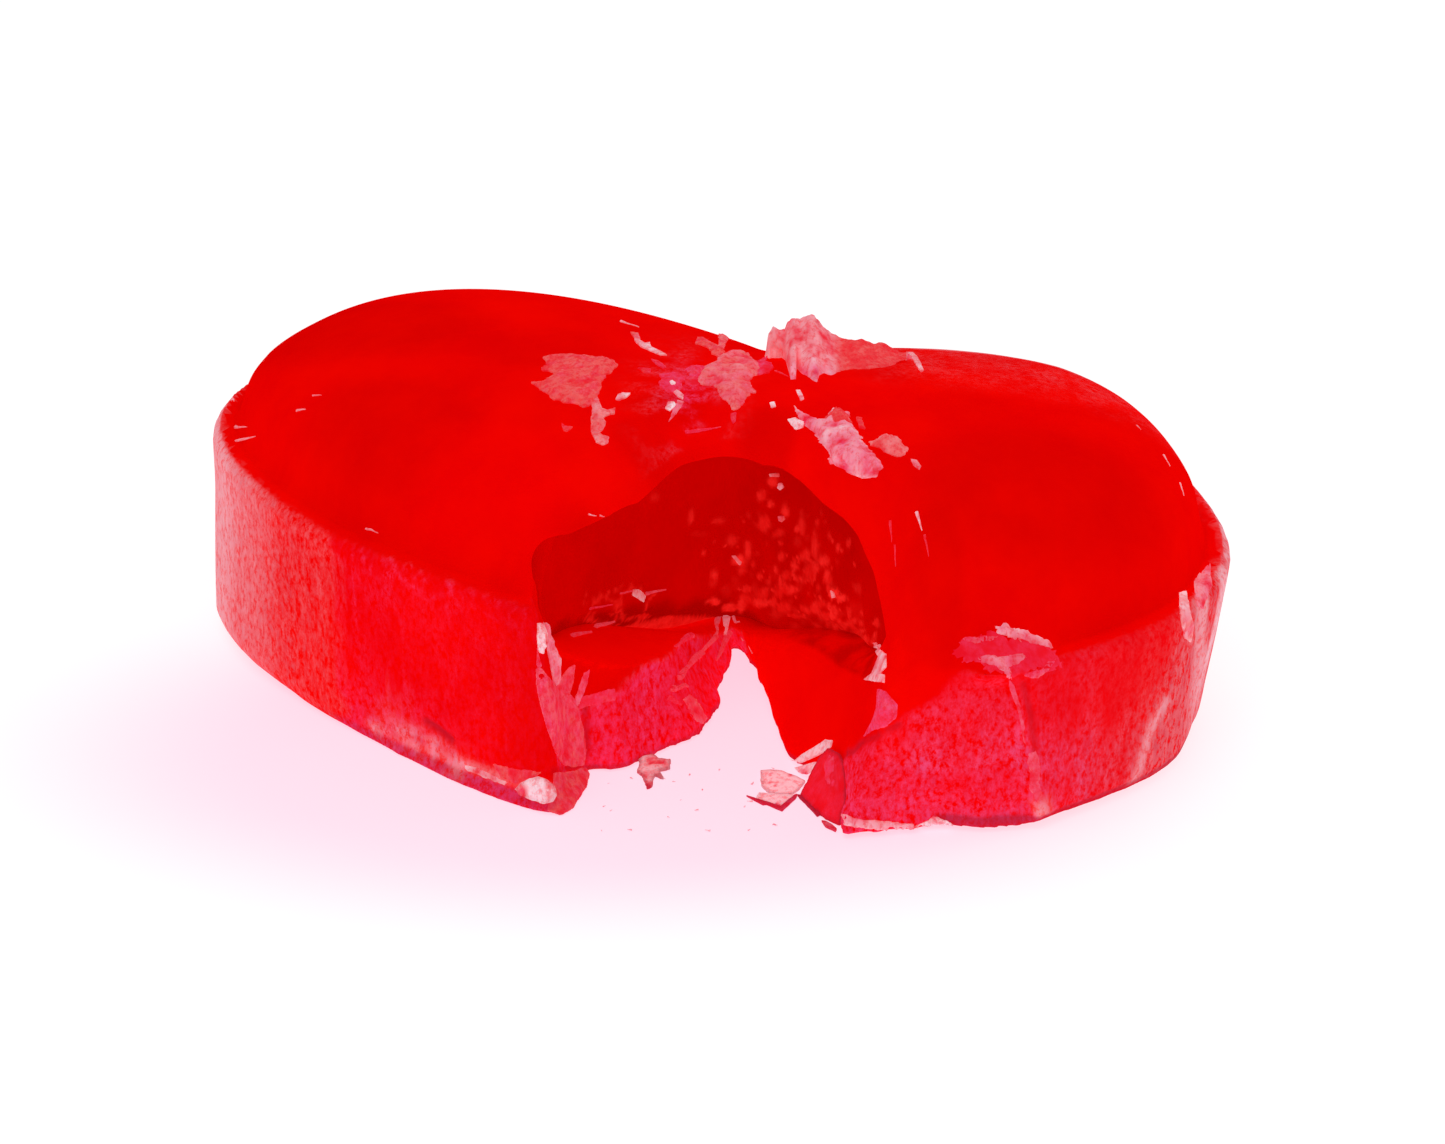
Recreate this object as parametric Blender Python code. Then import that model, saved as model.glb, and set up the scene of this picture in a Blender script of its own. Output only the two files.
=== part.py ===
"""Filled hard candy, broken open.

An oval boiled sweet: a straight side wall under a low dome.  It has been cracked from the
front, so that its two lobes swing apart round their join at the back.  The break leaves a
V-shaped notch down to the table, an arch under what is left of the dome, and the dark
filling open to view inside.

The model is drawn in millimetres and turned into metres at the end.  +Z is up, -Y is the
side that is broken open, and +X runs from the left lobe to the right one.
"""

import math

import bmesh
import bpy
from mathutils import Matrix, Vector, noise

MILLIMETRE = 0.001

# ---------------------------------------------------------------- driving dimensions, mm

# Each lobe is part of an oval sweet, turned about the vertical by the break.
LEFT_LOBE = {
    "centre": (-4.3, 2.1),
    "turn": -37.0,
    "half_length": 14.5,
    "half_width": 8.45,
    "wall_height": 6.9,
    "dome_height": 4.0,
    "wall_taper": 0.15,
    "foot_lip": 0.75,
}
RIGHT_LOBE = {
    "centre": (2.4, -0.5),
    "turn": 14.2,
    "half_length": 13.0,
    "half_width": 9.6,
    "wall_height": 6.0,
    "dome_height": 4.95,
    "wall_taper": 0.85,
    "foot_lip": 0.0,
}
OVAL_POWER = 2.4          # 2 is an ellipse, more is squarer
DOME_POWER = 2.5
RIM_LEDGE = 0.9           # flat ledge between the wall and the dome
RIM_ROUND = 0.3
FOOT_ROUND = 0.7
WALL_AT_FOOT = 0.9        # share of the taper just over the rounded foot...
WALL_HALF_UP = 0.45       # ...and half-way up the wall
LIP_START = -6.0          # the foot spreads in a thin lip from here along the front...
LIP_FULL = 2.0            # ...to here, in the lobe's own frame
OVAL_SIDES = 60
DOME_RINGS = 7
DOME_FIRST_RING = 0.12    # where the first ring lies, in steps between rings

# The lobes are cut on one line and meet behind the notch.
JOIN_FRONT = (-0.8, -8.0)
JOIN_BACK = (0.4, 9.0)
JOIN_OVERLAP = 1.2

# Egg-shaped hollow for the filling, with a floor that steps up towards the front.
HOLLOW_CENTRE = (-0.8, 0.8, 5.3)
HOLLOW_SIDE = 8.0
HOLLOW_FRONT = 8.2
HOLLOW_BACK = 6.2
HOLLOW_RISE = 4.4
HOLLOW_STEP = 1.9
HOLLOW_STEP_BACK = 4.0    # the floor is lowest behind this y
HOLLOW_STEP_FRONT = -1.4  # and highest before this one
HOLLOW_DETAIL = 4
FILLING_GAP = 0.3

# Pocket of the hollow behind the notch's left edge, where the dome is left as a thin roof.
POCKET_CENTRE = (-5.0, -3.4, 6.9)
POCKET_SIDE = 1.9
POCKET_REACH = 3.0
POCKET_RISE = 6.0
POCKET_DROP = 1.1
POCKET_ROOF = 0.22
POCKET_DETAIL = 3

# The notch, seen from above: left front edge, round the back, right front edge.
NOTCH_AT_TABLE = [
    (-5.8, -7.1), (-5.15, -4.9), (-3.7, -4.4), (-1.4, -1.4), (-0.75, 1.8), (-0.4, 4.0),
    (0.1, 1.9), (0.56, 0.2), (1.05, -1.8), (1.55, -3.9), (2.9, -8.3),
]
NOTCH_UNDER_DOME = [
    (-6.6, -6.7), (-6.7, -4.9), (-5.6, -4.9), (-4.4, -4.6), (-3.3, -3.2), (-1.9, -1.9),
    (0.3, -1.75), (2.2, -2.7), (3.8, -4.2), (4.9, -6.0), (5.0, -9.4),
]
NOTCH_OVER_DOME = [
    (-6.6, -6.7), (-6.5, -5.8), (-5.3, -6.3), (-4.0, -5.8), (-2.9, -4.2), (-1.9, -2.2),
    (0.3, -1.35), (2.2, -2.2), (4.3, -4.1), (6.4, -6.3), (8.0, -9.4),
]
NOTCH_TABLE_Z = 0.0
NOTCH_UNDER_Z = 7.6
NOTCH_OVER_Z = 9.8
NOTCH_RELIEF = 0.22

# The face of the filling follows the notch, a little behind it.
FILLING_AT_FLOOR = [
    (-7.6, -5.2), (-5.6, -3.0), (-4.5, -1.1), (-3.3, 0.1), (-2.0, 1.6), (-0.9, 3.1),
    (0.1, 2.7), (0.9, 1.3), (1.9, -0.8), (3.2, -3.4), (4.6, -6.6),
]
FILLING_AT_ROOF = [
    (-7.8, -4.6), (-6.2, -2.2), (-4.8, -0.6), (-3.4, 0.5), (-2.0, 1.2), (-0.7, 1.5),
    (0.7, 0.9), (2.1, -0.4), (3.5, -2.0), (4.9, -4.0), (6.2, -6.2),
]
FILLING_FLOOR_Z = 1.0
FILLING_ROOF_Z = 9.0
FILLING_RELIEF = 0.3

# Broken faces: steps in the plan, drawn out up the face, with finer streaks over them.
COARSE_PER_MM = 0.75
COARSE_PER_MM_UP = 0.28
COARSE_DEPTH = 1.3        # share of the relief
STREAK_FINER = 2.7        # times finer than the coarse steps
STREAK_DEPTH = 0.8
STREAK_SHIFT = (11.0, 5.0, 3.0)
NOTCH_SEED = 0.0          # height that each face's pattern starts from
SPLIT_SEED = 3.0
FILLING_SEED = 7.0
OUTLINE_STEPS = 3         # pieces drawn between two points of an outline
LOFT_STEP = 1.1           # height between two rings of a broken face
CUT_FRONT_Y = -14.0       # the cutters run out in front of the sweet
CUT_BELOW = 1.0
CUT_ABOVE = 2.5

# Shell-shaped chip out of the right lobe's front corner.
CHIP_CENTRE = (4.0, -11.5, 7.2)
CHIP_RADII = (4.4, 2.9, 3.2)
CHIP_RIPPLE = 0.05
CHIP_RIPPLES = 5.0        # ripples to a radius
CHIP_DETAIL = 4

# Beside the notch the right lobe's wall has split off, down to this rough face.
SPLIT_AT_FOOT = [
    (2.0, -9.3), (3.5, -8.98), (5.5, -8.48), (7.3, -7.92), (8.1, -7.64), (8.5, -7.6),
    (8.75, -7.95),
]
SPLIT_AT_RIM = [
    (2.0, -10.0), (3.5, -9.75), (5.5, -9.26), (7.0, -8.82), (7.6, -8.62), (7.9, -8.6),
    (8.1, -8.95),
]
SPLIT_FOOT_Z = 0.8
SPLIT_RIM_Z = 5.7
SPLIT_RELIEF = 0.1

# Splinters that lift off the dome over the join: place, turn, length, width, thickness.
FLAKES = [
    ("left_patch", (-5.5, 0.9), -12.0, 3.2, 2.4, 0.4),
    ("left_tail", (-4.75, -1.6), -75.0, 2.6, 0.9, 0.4),
    ("middle_patch", (-0.6, 1.7), 25.0, 2.9, 2.6, 0.45),
    ("middle_tail", (-1.3, 4.3), 65.0, 2.4, 1.1, 0.4),
    ("middle_chip", (-2.2, 0.9), -30.0, 1.1, 0.8, 0.5),
    ("right_patch", (2.8, -2.8), -52.0, 4.8, 1.7, 0.55),
    ("right_chip", (4.5, -2.6), -35.0, 1.9, 1.1, 0.4),
    ("rim_chip", (7.8, -8.5), 8.0, 2.8, 1.1, 0.5),
]
FLAKE_POINTS = 13
FLAKE_RAGGED = 0.75       # share of its size that its edge goes in and out
FLAKE_RAGGED_STEP = 1.7
FLAKE_RISE = 0.2          # how far a splinter stands over the dome
FLAKE_LIFT = 0.15         # how far its raised end stands over that

# A jagged piece of the dome leans up along the back of the right lobe: x, the y of its
# front foot, and the height of its edge.
CREST = [
    (0.5, 4.0, 10.2), (0.95, 3.9, 11.1), (1.45, 3.0, 11.5), (2.0, 2.0, 11.9),
    (2.7, 2.3, 11.4), (3.4, 2.7, 10.95), (4.4, 3.1, 10.8), (5.7, 3.7, 10.2),
]
CREST_EDGE_Y = 4.2
CREST_BACK_Y = 5.0
CREST_FOOT = 0.5          # depth of its front foot in the dome
CREST_BACK_Z = 8.8
CREST_THICKNESS = 0.4
CREST_BEVEL = 0.2

SHELL_COLOUR = (0.80, 0.004, 0.006, 1.0)
SHELL_ROUGHNESS = 0.12
FILLING_COLOUR = (0.30, 0.002, 0.004, 1.0)
FILLING_ROUGHNESS = 0.25

ORDER = Vector((1.0, 0.6180, 0.3137))    # direction along which a mesh is numbered
MERGE_DISTANCE = 0.01
SLIVER = 0.005
SMOOTH_UP_TO = 32.0       # degrees between faces that are shaded as one


# ------------------------------------------------------------------------------- helpers


def ease(amount):
    """Smooth step from 0 to 1."""
    amount = min(max(amount, 0.0), 1.0)
    return amount * amount * (3.0 - 2.0 * amount)


def superellipse(half_x, half_y, power, angle):
    """Point on an oval, at an angle round it."""
    cosine = math.cos(angle)
    sine = math.sin(angle)
    x = half_x * math.copysign(abs(cosine) ** (2.0 / power), cosine)
    y = half_y * math.copysign(abs(sine) ** (2.0 / power), sine)
    return x, y


def smooth_outline(points, steps):
    """Rounded curve through points in the plan, with steps pieces to each span."""
    result = []
    last = len(points) - 1
    for index in range(last):
        before = Vector(points[max(index - 1, 0)])
        start = Vector(points[index])
        end = Vector(points[index + 1])
        after = Vector(points[min(index + 2, last)])
        for step in range(steps):
            t = step / steps
            result.append(
                0.5 * (2.0 * start + (end - before) * t
                       + (2.0 * before - 5.0 * start + 4.0 * end - after) * t * t
                       + (3.0 * start - before - 3.0 * end + after) * t * t * t)
            )
    result.append(Vector(points[last]))
    return result


def stack_rings(bm, rings):
    """Skin a stack of closed rings with the same number of points, and close both ends."""
    verts = [bm.verts.new(point) for point in rings[0]]
    edges = [bm.edges.new((verts[i - 1], verts[i])) for i in range(len(verts))]
    first = edges
    order = {vert: number for number, vert in enumerate(verts)}
    for ring in rings[1:]:
        lower = {number: vert for vert, number in order.items()}
        made = bmesh.ops.extrude_edge_only(bm, edges=edges)["geom"]
        edges = [item for item in made if isinstance(item, bmesh.types.BMEdge)]
        upper = [item for item in made if isinstance(item, bmesh.types.BMVert)]
        by_place = {tuple(vert.co): number for number, vert in lower.items()}
        order = {vert: by_place[tuple(vert.co)] for vert in upper}
        for vert, number in order.items():
            vert.co = ring[number]
    for loop in (first, edges):
        bmesh.ops.edgeloop_fill(bm, edges=loop)
    bmesh.ops.triangulate(bm, faces=[face for face in bm.faces if len(face.verts) > 4])
    bmesh.ops.recalc_face_normals(bm, faces=bm.faces)


def object_from(bm, name):
    """Turn a bmesh into an object of the scene."""
    mesh = bpy.data.meshes.new(name)
    bm.to_mesh(mesh)
    bm.free()
    obj = bpy.data.objects.new(name, mesh)
    bpy.context.scene.collection.objects.link(obj)
    return obj


def drop(obj):
    """Remove an object and its mesh."""
    mesh = obj.data
    bpy.data.objects.remove(obj)
    bpy.data.meshes.remove(mesh)


def put_in_order(bm):
    """Number points, edges and faces by place: a Boolean numbers them anew in every run."""
    bm.verts.sort(key=lambda vert: vert.co.dot(ORDER))
    bm.edges.sort(key=lambda edge: (edge.verts[0].co + edge.verts[1].co).dot(ORDER))
    bm.faces.sort(key=lambda face: face.calc_center_median().dot(ORDER))
    for items in (bm.verts, bm.edges, bm.faces):
        items.index_update()


def combine(obj, tools, operation):
    """One Boolean of an object with a collection of tools, applied; the tools are removed."""
    group = bpy.data.collections.new(operation)
    for tool in tools:
        group.objects.link(tool)
    modifier = obj.modifiers.new(operation, "BOOLEAN")
    modifier.operation = operation
    modifier.solver = "EXACT"
    modifier.operand_type = "COLLECTION"
    modifier.collection = group
    graph = bpy.context.evaluated_depsgraph_get()
    bm = bmesh.new()
    bm.from_object(obj, graph)
    put_in_order(bm)
    result = bpy.data.meshes.new(obj.name)
    bm.to_mesh(result)
    bm.free()
    obj.modifiers.clear()
    before = obj.data
    obj.data = result
    bpy.data.meshes.remove(before)
    for tool in tools:
        drop(tool)
    bpy.data.collections.remove(group)


# ---------------------------------------------------------------------------- the lobes


def lobe_profile(lobe):
    """Inset from the rim and height of each ring, from the foot to the top of the dome."""
    wall = lobe["wall_height"]
    taper = lobe["wall_taper"]
    half_round = FOOT_ROUND * (1.0 - math.sqrt(0.5))
    return [
        (taper + FOOT_ROUND, 0.0),
        (taper + half_round, half_round),
        (taper * WALL_AT_FOOT, FOOT_ROUND),
        (taper * WALL_HALF_UP, 0.5 * wall),
        (0.0, wall - RIM_ROUND),
        (RIM_ROUND, wall),
    ]


def lobe_rings(lobe):
    """Rings of the whole oval sweet that a lobe is part of, in the lobe's own frame."""
    length = lobe["half_length"]
    width = lobe["half_width"]
    levels = [(length - inset, width - inset, z) for inset, z in lobe_profile(lobe)]
    for ring in range(DOME_RINGS):
        angle = 0.5 * math.pi * (ring + DOME_FIRST_RING) / DOME_RINGS
        share = math.cos(angle) ** (2.0 / DOME_POWER)
        rise = math.sin(angle) ** (2.0 / DOME_POWER)
        levels.append(((length - RIM_LEDGE) * share, (width - RIM_LEDGE) * share,
                       lobe["wall_height"] + lobe["dome_height"] * rise))
    rings = []
    for half_x, half_y, z in levels:
        ring = []
        for side in range(OVAL_SIDES):
            angle = 2.0 * math.pi * side / OVAL_SIDES
            x, y = superellipse(half_x, half_y, OVAL_POWER, angle)
            if z < FOOT_ROUND and y < 0.0:
                y -= lobe["foot_lip"] * ease((x - LIP_START) / (LIP_FULL - LIP_START))
            ring.append(Vector((x, y, z)))
        rings.append(ring)
    return rings


def join_direction():
    """Level direction across the join, from the left lobe to the right one."""
    along = Vector(JOIN_BACK) - Vector(JOIN_FRONT)
    return Vector((along.y, -along.x, 0.0)).normalized()


def make_lobe(lobe, name, keep):
    """One lobe: the oval sweet, turned and placed, and cut on the join's line."""
    bm = bmesh.new()
    stack_rings(bm, lobe_rings(lobe))
    place = Matrix.Translation((*lobe["centre"], 0.0))
    turn = Matrix.Rotation(math.radians(lobe["turn"]), 4, "Z")
    bmesh.ops.transform(bm, matrix=place @ turn, verts=bm.verts)
    across = join_direction() * keep
    point = Vector((*JOIN_FRONT, 0.0)) - across * JOIN_OVERLAP
    everything = list(bm.verts) + list(bm.edges) + list(bm.faces)
    bmesh.ops.bisect_plane(bm, geom=everything, plane_co=point, plane_no=-across,
                           clear_outer=True)
    rim = [edge for edge in bm.edges if edge.is_boundary]
    bmesh.ops.holes_fill(bm, edges=rim)
    bmesh.ops.triangulate(bm, faces=[face for face in bm.faces if len(face.verts) > 4])
    bmesh.ops.recalc_face_normals(bm, faces=bm.faces)
    return object_from(bm, name)


# -------------------------------------------------------------------- hollow and filling


def make_pocket(name):
    """The pocket that thins the roof beside the notch: its top follows the dome."""
    bm = bmesh.new()
    bmesh.ops.create_icosphere(bm, subdivisions=POCKET_DETAIL, radius=1.0)
    for vert in bm.verts:
        x = POCKET_CENTRE[0] + vert.co.x * POCKET_SIDE
        y = POCKET_CENTRE[1] + vert.co.y * POCKET_REACH
        z = POCKET_CENTRE[2] + vert.co.z * (POCKET_RISE if vert.co.z > 0.0 else POCKET_DROP)
        vert.co = (x, y, min(z, top_height_at(x, y) - POCKET_ROOF))
    return object_from(bm, name)


def make_egg(name, gap):
    """The hollow's shape, drawn in by a gap for the filling that lies in it."""
    bm = bmesh.new()
    bmesh.ops.create_icosphere(bm, subdivisions=HOLLOW_DETAIL, radius=1.0)
    for vert in bm.verts:
        x, y, z = vert.co
        reach = HOLLOW_FRONT if y < 0.0 else HOLLOW_BACK
        x = HOLLOW_CENTRE[0] + x * (HOLLOW_SIDE - gap)
        y = HOLLOW_CENTRE[1] + y * (reach - gap)
        forward = (HOLLOW_STEP_BACK - y) / (HOLLOW_STEP_BACK - HOLLOW_STEP_FRONT)
        lift = HOLLOW_STEP * ease(forward) * max(-z, 0.0)
        vert.co = (x, y, HOLLOW_CENTRE[2] + z * (HOLLOW_RISE - gap) + lift)
    return object_from(bm, name)


# -------------------------------------------------------------------- the broken surfaces


def blend_outlines(keys, height):
    """Outline at a height, between the outlines drawn at the heights of the keys."""
    for (low_z, low), (high_z, high) in zip(keys, keys[1:]):
        if height <= high_z:
            t = min(max((height - low_z) / (high_z - low_z), 0.0), 1.0)
            return [a.lerp(b, t) for a, b in zip(low, high)]
    return [point.copy() for point in keys[-1][1]]


def roughen(outline, height, relief, seed):
    """Push an outline in and out: coarse steps, and streaks that run up the broken face."""
    result = []
    last = len(outline) - 1
    for index, point in enumerate(outline):
        tangent = outline[min(index + 1, last)] - outline[max(index - 1, 0)]
        side = Vector((-tangent.y, tangent.x)).normalized()
        where = Vector((point.x * COARSE_PER_MM, point.y * COARSE_PER_MM,
                        height * COARSE_PER_MM_UP + seed))
        depth = COARSE_DEPTH * noise.noise(where)
        depth += STREAK_DEPTH * noise.noise(where * STREAK_FINER + Vector(STREAK_SHIFT))
        result.append(point + side * relief * depth)
    return result


def make_break(name, keys, relief, seed):
    """Cutter with a broken side: outlines at some heights, open to the front."""
    drawn = [(z, smooth_outline(points, OUTLINE_STEPS)) for z, points in keys]
    bottom = keys[0][0] - CUT_BELOW
    top = keys[-1][0] + CUT_ABOVE
    count = max(2, round((top - bottom) / LOFT_STEP))
    rings = []
    for level in range(count + 1):
        z = bottom + (top - bottom) * level / count
        outline = roughen(blend_outlines(drawn, z), z, relief, seed)
        ring = [Vector((point.x, point.y, z)) for point in outline]
        ring.append(Vector((outline[-1].x, CUT_FRONT_Y, z)))
        ring.append(Vector((outline[0].x, CUT_FRONT_Y, z)))
        rings.append(ring)
    bm = bmesh.new()
    stack_rings(bm, rings)
    bmesh.ops.triangulate(bm, faces=bm.faces)
    return object_from(bm, name)


def make_chip(name):
    """Shell-shaped chip: a rippled ball that bites into a corner."""
    bm = bmesh.new()
    bmesh.ops.create_icosphere(bm, subdivisions=CHIP_DETAIL, radius=1.0)
    centre = Vector(CHIP_CENTRE)
    for vert in bm.verts:
        size = 1.0 + CHIP_RIPPLE * noise.noise(vert.co * CHIP_RIPPLES + centre)
        vert.co = centre + Vector(a * b * size for a, b in zip(vert.co, CHIP_RADII))
    return object_from(bm, name)


# ------------------------------------------------------------------------------ splinters


def top_height_at(x, y):
    """Height of the lobes' upper surface, before the break, at a place in the plan."""
    best = RIGHT_LOBE["wall_height"]
    across = join_direction().dot(Vector((x, y, 0.0)) - Vector((*JOIN_FRONT, 0.0)))
    for lobe, keep in ((LEFT_LOBE, -1.0), (RIGHT_LOBE, 1.0)):
        if across * keep < -JOIN_OVERLAP:
            continue
        angle = math.radians(lobe["turn"])
        dx = x - lobe["centre"][0]
        dy = y - lobe["centre"][1]
        u = math.cos(angle) * dx + math.sin(angle) * dy
        v = -math.sin(angle) * dx + math.cos(angle) * dy
        share = ((abs(u) / (lobe["half_length"] - RIM_LEDGE)) ** OVAL_POWER
                 + (abs(v) / (lobe["half_width"] - RIM_LEDGE)) ** OVAL_POWER)
        share = share ** (DOME_POWER / OVAL_POWER)
        if share < 1.0:
            rise = (1.0 - share) ** (1.0 / DOME_POWER)
            best = max(best, lobe["wall_height"] + lobe["dome_height"] * rise)
    return best


def make_flake(name, place, turn, length, width, thickness):
    """Thin splinter with a ragged edge that follows the dome and lifts a little off it."""
    x0, y0 = place
    angle0 = math.radians(turn)
    bottom = []
    top = []
    for index in range(FLAKE_POINTS):
        angle = 2.0 * math.pi * index / FLAKE_POINTS
        ragged = 1.0 + FLAKE_RAGGED * noise.noise(
            Vector((x0 + index * FLAKE_RAGGED_STEP, y0, turn)))
        u = 0.5 * length * math.cos(angle) * ragged
        v = 0.5 * width * math.sin(angle) * ragged
        x = x0 + u * math.cos(angle0) - v * math.sin(angle0)
        y = y0 + u * math.sin(angle0) + v * math.cos(angle0)
        z = top_height_at(x, y) + FLAKE_RISE + 0.5 * FLAKE_LIFT * (1.0 + math.cos(angle))
        bottom.append(Vector((x, y, z - thickness)))
        top.append(Vector((x, y, z)))
    bm = bmesh.new()
    stack_rings(bm, [bottom, top])
    bmesh.ops.triangulate(bm, faces=bm.faces)
    return object_from(bm, name)


def make_crest(name):
    """Jagged piece of the dome that leans up along the back of the join."""
    rings = []
    for x, foot_y, edge_z in CREST:
        rings.append([
            Vector((x, foot_y, top_height_at(x, foot_y) - CREST_FOOT)),
            Vector((x, CREST_BACK_Y, CREST_BACK_Z)),
            Vector((x, CREST_EDGE_Y + CREST_THICKNESS, edge_z - CREST_BEVEL)),
            Vector((x, CREST_EDGE_Y, edge_z)),
        ])
    bm = bmesh.new()
    stack_rings(bm, rings)
    bmesh.ops.triangulate(bm, faces=bm.faces)
    return object_from(bm, name)


# ------------------------------------------------------------------------------ the parts


def tidy_mesh(obj):
    """Merge stray points, drop slivers and loose scraps, and leave closed triangles."""
    bm = bmesh.new()
    bm.from_mesh(obj.data)
    bmesh.ops.triangulate(bm, faces=bm.faces)
    put_in_order(bm)
    bmesh.ops.remove_doubles(bm, verts=bm.verts, dist=MERGE_DISTANCE)
    bmesh.ops.dissolve_degenerate(bm, edges=bm.edges, dist=SLIVER)
    put_in_order(bm)
    left = set(bm.faces)
    bodies = []
    while left:
        body = set()
        queue = [left.pop()]
        while queue:
            face = queue.pop()
            body.add(face)
            for edge in face.edges:
                for other in edge.link_faces:
                    if other in left:
                        left.remove(other)
                        queue.append(other)
        bodies.append(body)
    bodies.sort(key=len, reverse=True)
    scraps = [face for body in bodies[1:] for face in body]
    bmesh.ops.delete(bm, geom=scraps, context="FACES")
    bmesh.ops.triangulate(bm, faces=bm.faces)
    bmesh.ops.recalc_face_normals(bm, faces=bm.faces)
    bm.to_mesh(obj.data)
    bm.free()


def make_shell():
    """The hard candy: both lobes joined at the back, hollow, broken open, with splinters."""
    shell = make_lobe(LEFT_LOBE, "shell", -1.0)
    combine(shell, [make_lobe(RIGHT_LOBE, "right_lobe", 1.0)], "UNION")
    notch = [(NOTCH_TABLE_Z, NOTCH_AT_TABLE), (NOTCH_UNDER_Z, NOTCH_UNDER_DOME),
             (NOTCH_OVER_Z, NOTCH_OVER_DOME)]
    split = [(SPLIT_FOOT_Z, SPLIT_AT_FOOT), (SPLIT_RIM_Z, SPLIT_AT_RIM)]
    combine(shell, [
        make_egg("hollow", 0.0),
        make_pocket("pocket"),
        make_break("notch", notch, NOTCH_RELIEF, NOTCH_SEED),
        make_break("split", split, SPLIT_RELIEF, SPLIT_SEED),
        make_chip("chip"),
    ], "DIFFERENCE")
    splinters = [make_flake(*values) for values in FLAKES]
    combine(shell, [make_crest("crest"), *splinters], "UNION")
    tidy_mesh(shell)
    return shell


def make_filling():
    """The soft centre: what fills the hollow, broken along the same line as the shell."""
    filling = make_egg("filling", FILLING_GAP)
    keys = [(FILLING_FLOOR_Z, FILLING_AT_FLOOR), (FILLING_ROOF_Z, FILLING_AT_ROOF)]
    combine(filling, [make_break("face", keys, FILLING_RELIEF, FILLING_SEED)], "DIFFERENCE")
    tidy_mesh(filling)
    return filling


def give_material(obj, colour, roughness):
    """Plain Principled material in the part's own colour."""
    material = bpy.data.materials.new(obj.name)
    material.use_nodes = True
    shader = material.node_tree.nodes["Principled BSDF"]
    shader.inputs["Base Color"].default_value = colour
    shader.inputs["Roughness"].default_value = roughness
    shader.inputs["Metallic"].default_value = 0.0
    obj.data.materials.clear()
    obj.data.materials.append(material)


def settle(parts):
    """Centre the parts on the origin, stand them on z = 0 and turn millimetres to metres."""
    corners = [vert.co for part in parts for vert in part.data.vertices]
    low = Vector(min(corner[axis] for corner in corners) for axis in range(3))
    high = Vector(max(corner[axis] for corner in corners) for axis in range(3))
    shift = Vector((-(low.x + high.x) / 2.0, -(low.y + high.y) / 2.0, -low.z))
    place = Matrix.Scale(MILLIMETRE, 4) @ Matrix.Translation(shift)
    for part in parts:
        part.data.transform(place)
        part.data.shade_smooth()
        part.data.set_sharp_from_angle(angle=math.radians(SMOOTH_UP_TO))
    return shift


def main():
    for obj in list(bpy.data.objects):
        bpy.data.objects.remove(obj)
    shell = make_shell()
    filling = make_filling()
    shift = settle([shell, filling])
    give_material(shell, SHELL_COLOUR, SHELL_ROUGHNESS)
    give_material(filling, FILLING_COLOUR, FILLING_ROUGHNESS)
    print("moved by", [round(value, 3) for value in shift])
    for part in (shell, filling):
        print(part.name, len(part.data.polygons), "faces")


main()
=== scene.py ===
"""Dress a filled hard candy that has been cracked open.

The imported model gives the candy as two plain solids, its shell and its filling.  This script
puts fine meshes in their place: the shell gets its polished dome, frosted side, rounded
arch, sharp broken faces and thin foot, and the filling its glassy, bubbly face.  Splinters
of sugar lie on the dome over the break, and crumbs and shards on the table before it.

Places on the candy are given in the drawing frame of its solids: millimetres, with the
origin under the middle of the break, +X to the right, -Y to the broken side and +Z up.
"""

import logging
import math
from dataclasses import dataclass, field, replace
from enum import Enum

import bmesh
import bpy
import numpy as np
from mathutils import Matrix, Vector, noise
from mathutils.bvhtree import BVHTree
from mathutils.geometry import delaunay_2d_cdt

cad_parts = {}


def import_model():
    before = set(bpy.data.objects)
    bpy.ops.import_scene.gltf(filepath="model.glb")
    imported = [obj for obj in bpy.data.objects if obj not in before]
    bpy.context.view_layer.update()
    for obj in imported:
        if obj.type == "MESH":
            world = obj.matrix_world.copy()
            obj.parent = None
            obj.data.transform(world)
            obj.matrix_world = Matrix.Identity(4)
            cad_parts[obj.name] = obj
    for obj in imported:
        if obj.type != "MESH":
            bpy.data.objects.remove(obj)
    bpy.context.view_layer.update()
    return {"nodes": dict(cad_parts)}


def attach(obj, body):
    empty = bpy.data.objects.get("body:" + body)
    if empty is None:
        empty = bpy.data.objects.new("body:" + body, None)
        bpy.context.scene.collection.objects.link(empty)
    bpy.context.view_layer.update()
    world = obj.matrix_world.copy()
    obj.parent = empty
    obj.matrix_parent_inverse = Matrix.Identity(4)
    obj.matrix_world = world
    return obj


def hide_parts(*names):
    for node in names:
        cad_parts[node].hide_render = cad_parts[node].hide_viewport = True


LOG = logging.getLogger("candy")

MM = 0.001

# Where the drawing frame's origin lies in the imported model's frame, mm.
DRAWING_SHIFT = np.array([1.017, -2.145, 0.0])
# Cosine and sine of the camera's angle over the table, rounded.
VIEW_COS, VIEW_SIN = 0.89, 0.45

Colour = tuple[float, float, float]


class Slot(Enum):
    """Names of the material slots of the shell and the filling; nothing in the script reads them.
    """

    SHELL = "candy_shell"
    FILLING = "candy_filling"


class Tone(Enum):
    """What the materials read from a mesh, each from 0 to 1 at every point."""

    FROST = "frost"  # grains of frosted sugar over the clear colour
    CUT = "cut"  # crimson of a fresh break, in place of the frosted pink
    PALE_AND_HIGHLIGHT = "pale"  # near-white sugar, and painted highlights: sheen on the walls and a bright line on the dome's back edge
    DEEP_AND_SHADE = "deep"  # dark colour of thick sugar, and painted shade
    DUSK_AND_SHADOW = "dusk"  # dull crimson of thin edges and cracks, and painted shadow along the feet and in crevices


# ------------------------------------------------------------------------------- helpers


def to_frame(point: np.ndarray) -> np.ndarray:
    """Turn places in the drawing frame, mm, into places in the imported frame, m.

    Args:
        point: One place or an array of places, mm.

    Returns:
        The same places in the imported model's frame, m.
    """
    return (np.asarray(point, float) + DRAWING_SHIFT) * MM


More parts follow.
